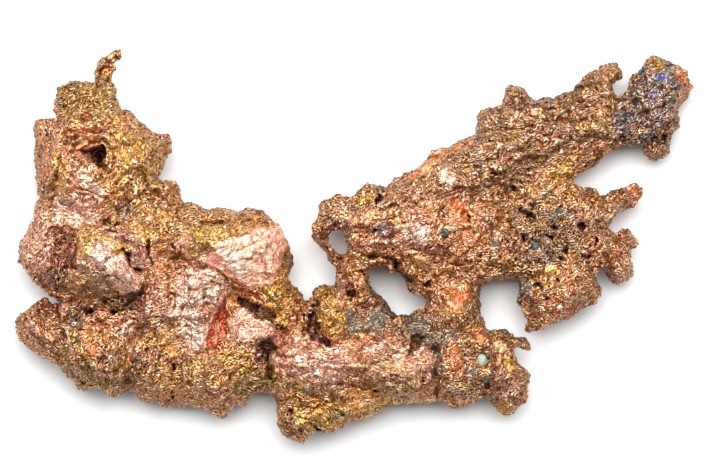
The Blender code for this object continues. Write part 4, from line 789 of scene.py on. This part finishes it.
def tint(mesh, plan):
    """Colour, and mineral dust with the painted floor shade of two gaps, by region, as point attributes
    that the material reads.
    """
    points = vectors(mesh, "position")
    loose = plan + 1.3 * wander(points, 3.2 * MM, 2)[:, :2] + 0.6 * wander(points, 1.0 * MM, 3)[:, :2]
    colour = np.tile(np.array(linear(PALETTE["copper"])[:3]), (len(points), 1))
    for name, ovals in TINTS.items():
        colour += cover(loose, ovals)[:, None] * (np.array(linear(PALETTE[name])[:3]) - colour)
    for name, strength, _, _, rim, outline in AREAS:
        share = strength * in_area(plan, outline, rim)
        colour += share[:, None] * (np.array(linear(PALETTE[name])[:3]) - colour)
    plain = np.array(linear(PALETTE["copper"])[:3])
    colour = np.clip(plain + TINT_GAIN * (colour - plain), 0.005, 1.0)
    layer = mesh.attributes.new("tint", "FLOAT_COLOR", "POINT")
    layer.data.foreach_set("color", np.insert(colour, 3, 1.0, axis=1).astype(np.float32).ravel())
    keep(mesh, "dust_and_gap_shade", cover(loose, DUST_AND_GAP_SHADE))


def add_node(tree, kind, inputs=None, **settings):
    """Add a node and set its properties. An input takes a plain value, a hex colour, a socket, or a node,
    which stands for its first output in use."""
    node = tree.nodes.new(kind)
    for name, value in settings.items():
        setattr(node, name, value)
    for key, value in (inputs or {}).items():
        if isinstance(value, bpy.types.Node):
            value = next(output for output in value.outputs if output.enabled)
        if isinstance(value, bpy.types.NodeSocket):
            tree.links.new(value, node.inputs[key])
        elif isinstance(value, str) and value.startswith("#"):
            node.inputs[key].default_value = linear(value)
        else:
            node.inputs[key].default_value = value
    return node


def hackly_tree():
    """Geometry nodes that raise lumps, worms and knobs on a skin, and store how deep each place lies."""
    tree = bpy.data.node_groups.new("hackly skin", "GeometryNodeTree")
    tree.interface.new_socket("Geometry", in_out="INPUT", socket_type="NodeSocketGeometry")
    for name, value in (("Lump size", 3.2 * MM), ("Lump height", 0.20 * MM), ("Worm size", 2.2 * MM),
                        ("Worm spacing", 1.0 * MM), ("Worm height", 0.11 * MM),
                        ("Knob size", 0.8 * MM), ("Knob height", 0.16 * MM)):
        socket = tree.interface.new_socket(name, in_out="INPUT", socket_type="NodeSocketFloat")
        socket.default_value = value
    tree.interface.new_socket("Geometry", in_out="OUTPUT", socket_type="NodeSocketGeometry")
    given = add_node(tree, "NodeGroupInput").outputs
    place = add_node(tree, "GeometryNodeInputPosition")
    normal = add_node(tree, "GeometryNodeInputNormal")
    satin = add_node(tree, "GeometryNodeInputNamedAttribute", {"Name": "satin"}, data_type="FLOAT")
    rough = add_node(tree, "ShaderNodeMath", {0: 1.0, 1: satin}, operation="SUBTRACT")
    flow = add_node(tree, "GeometryNodeInputNamedAttribute", {"Name": "flow"}, data_type="FLOAT")
    flow = add_node(tree, "ShaderNodeMath", {0: flow, 1: MM}, operation="MULTIPLY")
    shares = {}
    for name, kind, inputs, settings in (
            ("Lump", "ShaderNodeTexNoise", {"Detail": 1.0, "Offset": 1.0, "Gain": 1.5},
             {"noise_type": "RIDGED_MULTIFRACTAL"}),
            ("Worm", "ShaderNodeTexNoise", {"Detail": 1.0}, {}),
            ("Knob", "ShaderNodeTexVoronoi", {}, {"feature": "F1"})):
        scale = add_node(tree, "ShaderNodeMath", {0: 1.0, 1: given[name + " size"]}, operation="DIVIDE")
        shares[name] = add_node(tree, kind, {"Vector": place, "Scale": scale, **inputs}, **settings)
    # knobs stand higher at the nugget's edge, where they make its ragged points
    upright = add_node(tree, "ShaderNodeSeparateXYZ", {0: normal}).outputs["Z"]
    upright = add_node(tree, "ShaderNodeMath", {0: upright}, operation="ABSOLUTE")
    edge = add_node(tree, "ShaderNodeMapRange", {"Value": upright, "From Min": 0.75, "From Max": 0.1,
                                                 "To Min": 1.0, "To Max": KNOBS_AT_EDGE})
    # a worm is a contour of a random field laid along the flow; a knob is a cell's raised middle
    run = add_node(tree, "ShaderNodeMath", {0: flow, 1: given["Worm spacing"]}, operation="DIVIDE")
    run = add_node(tree, "ShaderNodeMath", {0: shares["Worm"], 1: WORM_SWIRL, 2: run},
                   operation="MULTIPLY_ADD")
    shares["Worm"] = add_node(tree, "ShaderNodeMath", {0: run, 1: 0.5}, operation="PINGPONG")
    rise = None
    for name, middle, sign in (("Lump", 0.95, 1.0), ("Worm", 0.25, 2.0), ("Knob", 0.53, -1.0)):
        centred = add_node(tree, "ShaderNodeMath", {0: shares[name], 1: middle}, operation="SUBTRACT")
        signed = add_node(tree, "ShaderNodeMath", {0: centred, 1: sign}, operation="MULTIPLY")
        height = add_node(tree, "ShaderNodeMath", {0: signed, 1: given[name + " height"]},
                          operation="MULTIPLY")
        if name == "Knob":
            height = add_node(tree, "ShaderNodeMath", {0: height, 1: edge}, operation="MULTIPLY")
        if rise is None:
            rise = height
        else:
            rise = add_node(tree, "ShaderNodeMath", {0: height, 1: rough, 2: rise},
                            operation="MULTIPLY_ADD")
    kept = add_node(tree, "GeometryNodeStoreNamedAttribute",
                    {"Geometry": given["Geometry"], "Name": "skin_place", "Value": place},
                    data_type="FLOAT_VECTOR", domain="POINT")
    push = add_node(tree, "ShaderNodeVectorMath", {0: normal, "Scale": rise}, operation="SCALE")
    shape = add_node(tree, "GeometryNodeSetPosition", {"Geometry": kept, "Offset": push})
    # the turn from each hill's own slope to that of the whole mass about it
    hill = add_node(tree, "GeometryNodeBlurAttribute", {"Value": normal, "Iterations": HILL_STEPS},
                    data_type="FLOAT_VECTOR")
    mass = add_node(tree, "GeometryNodeBlurAttribute", {"Value": normal, "Iterations": MASS_STEPS},
                    data_type="FLOAT_VECTOR")
    broad = add_node(tree, "ShaderNodeVectorMath", {0: mass, 1: hill}, operation="SUBTRACT")
    shape = add_node(tree, "GeometryNodeStoreNamedAttribute",
                     {"Geometry": shape, "Name": "broad", "Value": broad},
                     data_type="FLOAT_VECTOR", domain="POINT")
    for name, steps in (("cavity", CAVITY_STEPS), ("hollow", HILL_STEPS)):
        level = add_node(tree, "GeometryNodeBlurAttribute", {"Value": place, "Iterations": steps},
                         data_type="FLOAT_VECTOR")
        under = add_node(tree, "ShaderNodeVectorMath", {0: level, 1: place}, operation="SUBTRACT")
        depth = add_node(tree, "ShaderNodeVectorMath", {0: under, 1: normal}, operation="DOT_PRODUCT")
        depth = add_node(tree, "ShaderNodeMath", {0: depth, 1: MM}, operation="DIVIDE")
        shape = add_node(tree, "GeometryNodeStoreNamedAttribute",
                         {"Geometry": shape, "Name": name, "Value": depth},
                         data_type="FLOAT", domain="POINT")
    add_node(tree, "NodeGroupOutput", {"Geometry": shape})
    return tree


def copper_material():
    """Native copper, leached: a hackly metal whose colour is its reflection. Squiggly ridges 0.2 mm
    wide run along its folds, drawn with a painted highlight on top and painted shade between; cuprite
    reddens it wherever dirt can lie. The real crystals are finer, and are drawn here as fine as they
    still show."""
    material = bpy.data.materials.new("native copper, hackly and leached")
    material.use_nodes = True
    tree = material.node_tree
    tree.nodes.clear()
    place = add_node(tree, "ShaderNodeAttribute", attribute_name="skin_place").outputs["Vector"]
    broad = add_node(tree, "ShaderNodeAttribute", attribute_name="broad").outputs["Vector"]
    region = add_node(tree, "ShaderNodeAttribute", attribute_name="tint").outputs["Color"]
    satin, crease_and_pit_shade, dust_and_gap_shade, flow, cavity, hollow = (
        add_node(tree, "ShaderNodeAttribute", attribute_name=name).outputs["Fac"]
        for name in ("satin", "crease_and_pit_shade", "dust_and_gap_shade", "flow", "cavity", "hollow"))
    rough = add_node(tree, "ShaderNodeMapRange", {"Value": satin, "To Min": 1.0, "To Max": 0.4})
    crystals = add_node(tree, "ShaderNodeTexVoronoi", {"Vector": place, "Scale": 1 / CRYSTAL_SIZE},
                        feature="F1").outputs["Color"]
    chance = add_node(tree, "ShaderNodeSeparateColor", {"Color": crystals}).outputs

    # facets of a millimetre or so, as of crumpled foil
    bend = add_node(tree, "ShaderNodeTexNoise",
                    {"Vector": place, "Scale": 1 / FACET_BEND, "Detail": 1.0}).outputs["Color"]
    bend = add_node(tree, "ShaderNodeVectorMath", {0: bend, "Scale": FACET_BEND}, operation="SCALE")
    bent = add_node(tree, "ShaderNodeVectorMath", {0: place, 1: bend}, operation="ADD")
    facets = add_node(tree, "ShaderNodeTexVoronoi", {"Vector": bent, "Scale": 1 / FACET_SIZE},
                      feature="F1").outputs["Color"]
    kind = add_node(tree, "ShaderNodeSeparateColor", {"Color": facets}).outputs
    facet_lean, crystal_lean = (
        add_node(tree, "ShaderNodeVectorMath", {0: cells, 1: (0.5, 0.5, 0.5)}, operation="SUBTRACT")
        for cells in (facets, crystals))

    # the squiggles: contours of a random field, laid along the flow and turned a little by each facet,
    # as a wave from 0 to 1
    swirl = add_node(tree, "ShaderNodeTexNoise", {"Vector": place, "Scale": 1 / SQUIGGLE_SIZE,
                                                  "Detail": 3.0, "Distortion": 1.2})
    lines = add_node(tree, "ShaderNodeMath", {0: flow, 1: MM / SQUIGGLE_SPACING}, operation="MULTIPLY")
    lines = add_node(tree, "ShaderNodeMath", {0: swirl, 1: SQUIGGLE_SWIRL, 2: lines},
                     operation="MULTIPLY_ADD")
    turned = add_node(tree, "ShaderNodeVectorMath", {0: facet_lean, 1: place}, operation="DOT_PRODUCT")
    lines = add_node(tree, "ShaderNodeMath", {0: turned, 1: SQUIGGLE_TURN / MM, 2: lines},
                     operation="MULTIPLY_ADD")
    worms = add_node(tree, "ShaderNodeMath", {0: lines, 1: 0.5}, operation="PINGPONG")
    worms = add_node(tree, "ShaderNodeMath", {0: worms, 1: 2.0}, operation="MULTIPLY")

    # the facets' own finish, then softer patches, over the region's tint
    colour = region
    for channel, least, hex_colour, most in ((0, 0.66, "#C8922E", 0.35), (1, 0.68, "#F8D2AC", 0.35),
                                             (2, 0.74, "#9C3E1C", 0.35)):
        chosen = add_node(tree, "ShaderNodeMath", {0: kind[channel], 1: least}, operation="GREATER_THAN")
        share = add_node(tree, "ShaderNodeMath", {0: chosen, 1: most}, operation="MULTIPLY")
        share = add_node(tree, "ShaderNodeMath", {0: share, 1: rough}, operation="MULTIPLY")
        colour = add_node(tree, "ShaderNodeMix", {"Factor": share, "A": colour, "B": hex_colour},
                          data_type="RGBA")
    for size, start, end, hex_colour, most in (
            (2.4, 0.54, 0.66, "#C88A34", 0.3), (1.3, 0.55, 0.66, "#A4552F", 0.35),
            (0.8, 0.53, 0.64, "#FFEBD6", 0.3), (0.9, 0.54, 0.66, "#7B5A2E", 0.35)):
        shift = add_node(tree, "ShaderNodeVectorMath", {0: place, 1: (size, 2 * size, -size)},
                         operation="ADD")
        patch = add_node(tree, "ShaderNodeTexNoise",
                         {"Vector": shift, "Scale": 1 / (size * MM), "Detail": 2.0})
        share = add_node(tree, "ShaderNodeMapRange",
                         {"Value": patch, "From Min": start, "From Max": end, "To Max": most},
                         interpolation_type="SMOOTHSTEP")
        colour = add_node(tree, "ShaderNodeMix", {"Factor": share, "A": colour, "B": hex_colour},
                          data_type="RGBA")

    # the tint is that of the squiggles' tops, lit by a painted highlight: the metal beside them is drawn
    # duller, and painted shade darkens it between them. Satin metal is drawn brighter as a painted sheen,
    # and each crystal lighter or darker as a painted glint.
    painted_sheen = add_node(tree, "ShaderNodeMapRange", {"Value": satin, "To Min": 0.62, "To Max": 1.2})
    # painted glint: each crystal is drawn lighter or darker
    painted_crystal_glint = add_node(tree, "ShaderNodeMapRange", {"Value": chance[2], "To Min": 0.36, "To Max": 1.5})
    painted_crystal_glint = add_node(tree, "ShaderNodeMix", {"Factor": rough, "A": 1.0, "B": painted_crystal_glint}, data_type="FLOAT")
    painted_sheen = add_node(tree, "ShaderNodeMath", {0: painted_sheen, 1: painted_crystal_glint}, operation="MULTIPLY")
    body = add_node(tree, "ShaderNodeVectorMath", {0: colour, "Scale": painted_sheen}, operation="SCALE")
    # painted shade between the squiggles
    painted_gap_shade = add_node(tree, "ShaderNodeMix", {"Factor": 1.0, "A": body, "B": "#66382A"},
                   data_type="RGBA", blend_type="MULTIPLY")
    low = add_node(tree, "ShaderNodeMapRange",
                   {"Value": worms, "From Min": 0.45, "From Max": 0.2, "To Max": 1.0},
                   interpolation_type="SMOOTHSTEP")
    lined = add_node(tree, "ShaderNodeMapRange", {"Value": kind[1], "To Min": 0.3, "To Max": 1.0})
    lined = add_node(tree, "ShaderNodeMath", {0: lined, 1: rough}, operation="MULTIPLY")
    low = add_node(tree, "ShaderNodeMath", {0: low, 1: lined}, operation="MULTIPLY")
    # painted highlight on the squiggles' tops: the tint mixed toward cream and brightened
    painted_highlight = add_node(tree, "ShaderNodeMix", {"Factor": 0.24, "A": colour, "B": "#FFEACB"},
                      data_type="RGBA")
    painted_highlight = add_node(tree, "ShaderNodeVectorMath", {0: painted_highlight, "Scale": 1.12}, operation="SCALE")
    top = add_node(tree, "ShaderNodeMapRange", {"Value": worms, "From Min": 0.5, "From Max": 0.75},
                   interpolation_type="SMOOTHSTEP")
    lit = add_node(tree, "ShaderNodeMapRange", {"Value": chance[0], "From Min": 0.2, "From Max": 0.8,
                                                "To Min": 0.35, "To Max": 1.0})
    top = add_node(tree, "ShaderNodeMath", {0: top, 1: lit}, operation="MULTIPLY")
    colour = add_node(tree, "ShaderNodeMix", {"Factor": low, "A": body, "B": painted_gap_shade},
                      data_type="RGBA")
    colour = add_node(tree, "ShaderNodeMix", {"Factor": top, "A": colour, "B": painted_highlight},
                      data_type="RGBA")

    # red-brown oxide in the fine creases and the hollows; the near-black deeper in the hollows and along
    # the creases, veins and pits is painted shade; then mineral dust, with painted floor shade in two gaps
    for value, start, end, hex_colour, most in (
            (cavity, 0.02, 0.16, "#6E3016", 0.75), (hollow, 0.3, 0.9, "#7E3A1C", 0.3),
            (hollow, 0.8, 1.6, "#2A0E06", 0.9), (crease_and_pit_shade, 0.1, 1.0, "#2E130B", 0.95)):
        share = add_node(tree, "ShaderNodeMapRange",
                         {"Value": value, "From Min": start, "From Max": end, "To Max": most},
                         interpolation_type="SMOOTHSTEP")
        colour = add_node(tree, "ShaderNodeMix", {"Factor": share, "A": colour, "B": hex_colour},
                          data_type="RGBA")
    # mineral dust, and in two gaps painted shade of the floor, in the same dark grey-green
    dull = add_node(tree, "ShaderNodeMapRange",
                    {"Value": dust_and_gap_shade, "From Min": 0.2, "From Max": 0.9, "To Max": 0.9},
                    interpolation_type="SMOOTHSTEP")
    bare = add_node(tree, "ShaderNodeMath", {0: 1.0, 1: top}, operation="SUBTRACT", use_clamp=True)
    dull = add_node(tree, "ShaderNodeMath", {0: dull, 1: bare}, operation="MULTIPLY")
    speck = add_node(tree, "ShaderNodeMath", {0: chance[1], 1: worms}, operation="MULTIPLY")
    earth_and_gap_shade = add_node(tree, "ShaderNodeMix", {"Factor": speck, "A": DUST_AND_SHADE_COLOURS[0], "B": DUST_AND_SHADE_COLOURS[1]},
                     data_type="RGBA")
    colour = add_node(tree, "ShaderNodeMix", {"Factor": dull, "A": colour, "B": earth_and_gap_shade},
                      data_type="RGBA")
    metal = add_node(tree, "ShaderNodeMath", {0: 1.0, 1: dull}, operation="SUBTRACT")
    gloss = add_node(tree, "ShaderNodeMapRange", {"Value": hollow, "From Min": -0.2, "From Max": 0.7,
                                                  "To Min": 0.46, "To Max": 0.62})
    gloss = add_node(tree, "ShaderNodeMath", {0: satin, 1: 0.16, 2: gloss}, operation="MULTIPLY_ADD")

    # the squiggles' relief, then every facet's and every crystal's own tilt
    height = add_node(tree, "ShaderNodeMath", {0: worms, 1: lined}, operation="MULTIPLY")
    relief = add_node(tree, "ShaderNodeBump",
                      {"Height": height, "Strength": 1.0, "Distance": SQUIGGLE_HEIGHT})
    facing = add_node(tree, "ShaderNodeVectorMath", {0: broad, 1: (BROAD_SHARE,) * 3, 2: relief},
                      operation="MULTIPLY_ADD")
    for lean, most in ((facet_lean, FACET_TILT), (crystal_lean, CRYSTAL_TILT)):
        amount = add_node(tree, "ShaderNodeMath", {0: rough, 1: most}, operation="MULTIPLY")
        tilt = add_node(tree, "ShaderNodeVectorMath", {0: lean, "Scale": amount}, operation="SCALE")
        facing = add_node(tree, "ShaderNodeVectorMath", {0: facing, 1: tilt}, operation="ADD")
    facing = add_node(tree, "ShaderNodeVectorMath", {0: facing}, operation="NORMALIZE")
    surface = add_node(tree, "ShaderNodeBsdfPrincipled",
                       {"Base Color": colour, "Metallic": metal, "Roughness": gloss, "Normal": facing})
    add_node(tree, "ShaderNodeOutputMaterial", {"Surface": surface})
    return material


def parted(mesh, name, west, east, south, north):
    """The part of a mesh between four upright planes, closed where they cut it."""
    shape = bmesh.new()
    shape.from_mesh(mesh)
    for place, outward in (((west, 0), (-1, 0)), ((east, 0), (1, 0)),
                           ((0, south), (0, -1)), ((0, north), (0, 1))):
        if max(map(abs, place)) >= FAR:
            continue
        cut = bmesh.ops.bisect_plane(
            shape, geom=shape.verts[:] + shape.edges[:] + shape.faces[:], dist=1e-7, clear_outer=True,
            plane_co=(*(p * MM for p in place), 0), plane_no=(*outward, 0))["geom_cut"]
        rim = [part for part in cut if isinstance(part, bmesh.types.BMEdge)]
        caps = bmesh.ops.triangle_fill(shape, edges=rim, use_beauty=True)["geom"]
        for cap in caps:
            if isinstance(cap, bmesh.types.BMFace):
                cap.smooth = False
    piece = bpy.data.meshes.new(name)
    shape.to_mesh(piece)
    shape.free()
    return piece


def copper():
    holder = fused_skin()
    nudged(holder.data)
    levelled(holder)
    plan = ragged(vectors(holder.data, "position"))
    tint(holder.data, plan)
    carve(holder.data, plan)
    hackly = holder.modifiers.new("hackly skin", "NODES")
    hackly.node_group = hackly_tree()
    skin = baked(holder)
    points = vectors(skin, "position")
    above = np.clip(points[:, 2] - CREST_LEVEL, 0, None)
    points[:, 2] = np.maximum(points[:, 2] - CREST_PRESS * above, 0)
    skin.vertices.foreach_set("co", points.astype(np.float32).ravel())
    skin.shade_smooth()
    material = copper_material()
    for name, limits in PIECES.items():
        piece = bpy.data.objects.new(name, parted(skin, name, *limits))
        piece.data.materials.append(material)
        bpy.context.collection.objects.link(piece)
        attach(piece, "root")
        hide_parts(COPPER_NODE)
    bpy.data.objects.remove(holder)


copper()


# ---- the mineral grains ------------------------------------------------------------------------------
# The copper grew round grains of its rock and still grips a few: a clear green crystal and a pale one
# beside it, rounded dull grains of grey and dark green rock, and a white chip of quartz. Each sits in
# its own socket and stands a little proud of the metal.
# Each grain: the corner count of its broken form, seed, and its finish.
GRAIN_FORMS = {
    "green_crystal": (14, 3, "green"),
    "pale_crystal": (12, 8, "pale"),
    "grey_grain_arm_upper": (34, 5, "grey"),
    "grey_grain_arm_lower": (34, 6, "grey"),
    "dark_green_grain": (26, 7, "dark"),
    "grey_grain_wing_left": (34, 9, "grey"),
    "grey_grain_wing_middle": (34, 10, "grey"),
    "grey_grain_wing_pitted": (34, 11, "grey"),
    "grey_grain_wing_right": (34, 12, "grey"),
    "white_grain": (20, 13, "white"),
}
CRYSTAL_EDGE = 0.05 * MM        # worn edge of a crystal's faces
CRYSTALS = {                    # its face, the light left deep inside, and how fast that is reached
    "green": ("#CDF2DC", "#7CCB9C", 220.0),
    "pale": ("#F2F7FA", "#B9D0DE", 120.0),
}
STONES = {                      # the stone's dark and light minerals
    "grey": ("#10150F", "#5E675C"),
    "dark": ("#0C241D", "#2F6350"),
    "white": ("#B9B4AC", "#F4F1EC"),
}


def crystal_material(finish):
    """A clear green or pale crystal, as smithsonite: glassy broken faces, clouded inside, and green
    where the light has gone through more of it."""
    face, body, density = CRYSTALS[finish]
    material = bpy.data.materials.new(f"clear {finish} crystal")
    material.use_nodes = True
    tree = material.node_tree
    tree.nodes.clear()
    place = add_node(tree, "ShaderNodeTexCoord").outputs["Object"]
    cloud = add_node(tree, "ShaderNodeTexNoise", {"Vector": place, "Scale": 1 / (0.5 * MM), "Detail": 3.0})
    frost = add_node(tree, "ShaderNodeMapRange", {"Value": cloud, "From Min": 0.4, "From Max": 0.65,
                                                  "To Min": 0.05, "To Max": 0.35})
    colour = add_node(tree, "ShaderNodeMix", {"Factor": frost, "A": face, "B": "#FFFFFF"},
                      data_type="RGBA")
    bump = add_node(tree, "ShaderNodeBump", {"Height": cloud, "Strength": 0.4, "Distance": 0.1 * MM})
    surface = add_node(tree, "ShaderNodeBsdfPrincipled",
                       {"Base Color": colour, "Roughness": frost, "IOR": 1.62, "Normal": bump,
                        "Transmission Weight": 0.6})
    inside = add_node(tree, "ShaderNodeVolumeAbsorption", {"Color": body, "Density": density})
    add_node(tree, "ShaderNodeOutputMaterial", {"Surface": surface, "Volume": inside})
    return material


def stone_material(finish):
    """A dull grain of rock: fine dark and light minerals with a slight waxy gloss where it is rubbed.
    They are a tenth of a millimetre across, and are drawn coarser here so that they show."""
    dark, light = STONES[finish]
    material = bpy.data.materials.new(f"{finish} rock grain")
    material.use_nodes = True
    tree = material.node_tree
    tree.nodes.clear()
    place = add_node(tree, "ShaderNodeTexCoord").outputs["Object"]
    minerals = add_node(tree, "ShaderNodeTexVoronoi", {"Vector": place, "Scale": 1 / (0.28 * MM)})
    chance = add_node(tree, "ShaderNodeSeparateColor", {"Color": minerals.outputs["Color"]})
    cloud = add_node(tree, "ShaderNodeTexNoise", {"Vector": place, "Scale": 1 / (0.6 * MM), "Detail": 3.0})
    share = add_node(tree, "ShaderNodeMath", {0: chance, 1: cloud}, operation="MULTIPLY")
    spread = add_node(tree, "ShaderNodeMapRange", {"Value": share, "From Max": 0.6})
    colour = add_node(tree, "ShaderNodeMix", {"Factor": spread, "A": dark, "B": light}, data_type="RGBA")
    gloss = add_node(tree, "ShaderNodeMapRange", {"Value": cloud, "From Min": 0.35, "From Max": 0.65,
                                                  "To Min": 0.3, "To Max": 0.65})
    bump = add_node(tree, "ShaderNodeBump", {"Height": share, "Strength": 0.6, "Distance": 0.08 * MM})
    surface = add_node(tree, "ShaderNodeBsdfPrincipled",
                       {"Base Color": colour, "Roughness": gloss, "Normal": bump})
    add_node(tree, "ShaderNodeOutputMaterial", {"Surface": surface})
    return material


def broken_form(name, corners, seed):
    """A grain with flat broken faces: the hull of points spread evenly over an oval in its node's box."""
    low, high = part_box(name)
    middle, half = (low + high) / 2, (high - low) / 2
    chance = np.random.default_rng(seed)
    shape = bmesh.new()
    for index in range(corners):
        up = 1 - 2 * (index + 0.5) / corners
        turn = index * math.pi * (3 - math.sqrt(5)) + chance.uniform(-0.25, 0.25)
        ring = math.sqrt(1 - up * up)
        reach = chance.uniform(0.84, 1.04)
        point = Vector((ring * math.cos(turn), ring * math.sin(turn), up)) * reach
        shape.verts.new(middle + Vector(p * h for p, h in zip(point, half)))
    bmesh.ops.convex_hull(shape, input=shape.verts)
    bmesh.ops.dissolve_limit(shape, angle_limit=math.radians(12), verts=shape.verts, edges=shape.edges)
    bmesh.ops.bevel(shape, geom=shape.edges, offset=CRYSTAL_EDGE, segments=2, affect="EDGES")
    bmesh.ops.recalc_face_normals(shape, faces=shape.faces)
    mesh = bpy.data.meshes.new(name + "_stone")
    shape.to_mesh(mesh)
    shape.free()
    return mesh


def grains():
    finishes = {name: crystal_material(name) for name in CRYSTALS}
    finishes.update({name: stone_material(name) for name in STONES})
    for node, (corners, seed, finish) in GRAIN_FORMS.items():
        mesh = broken_form(node, corners, seed)
        mesh.materials.append(finishes[finish])
        piece = bpy.data.objects.new(node + "_broken", mesh)
        bpy.context.collection.objects.link(piece)
        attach(piece, "root")
        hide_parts(node)


grains()
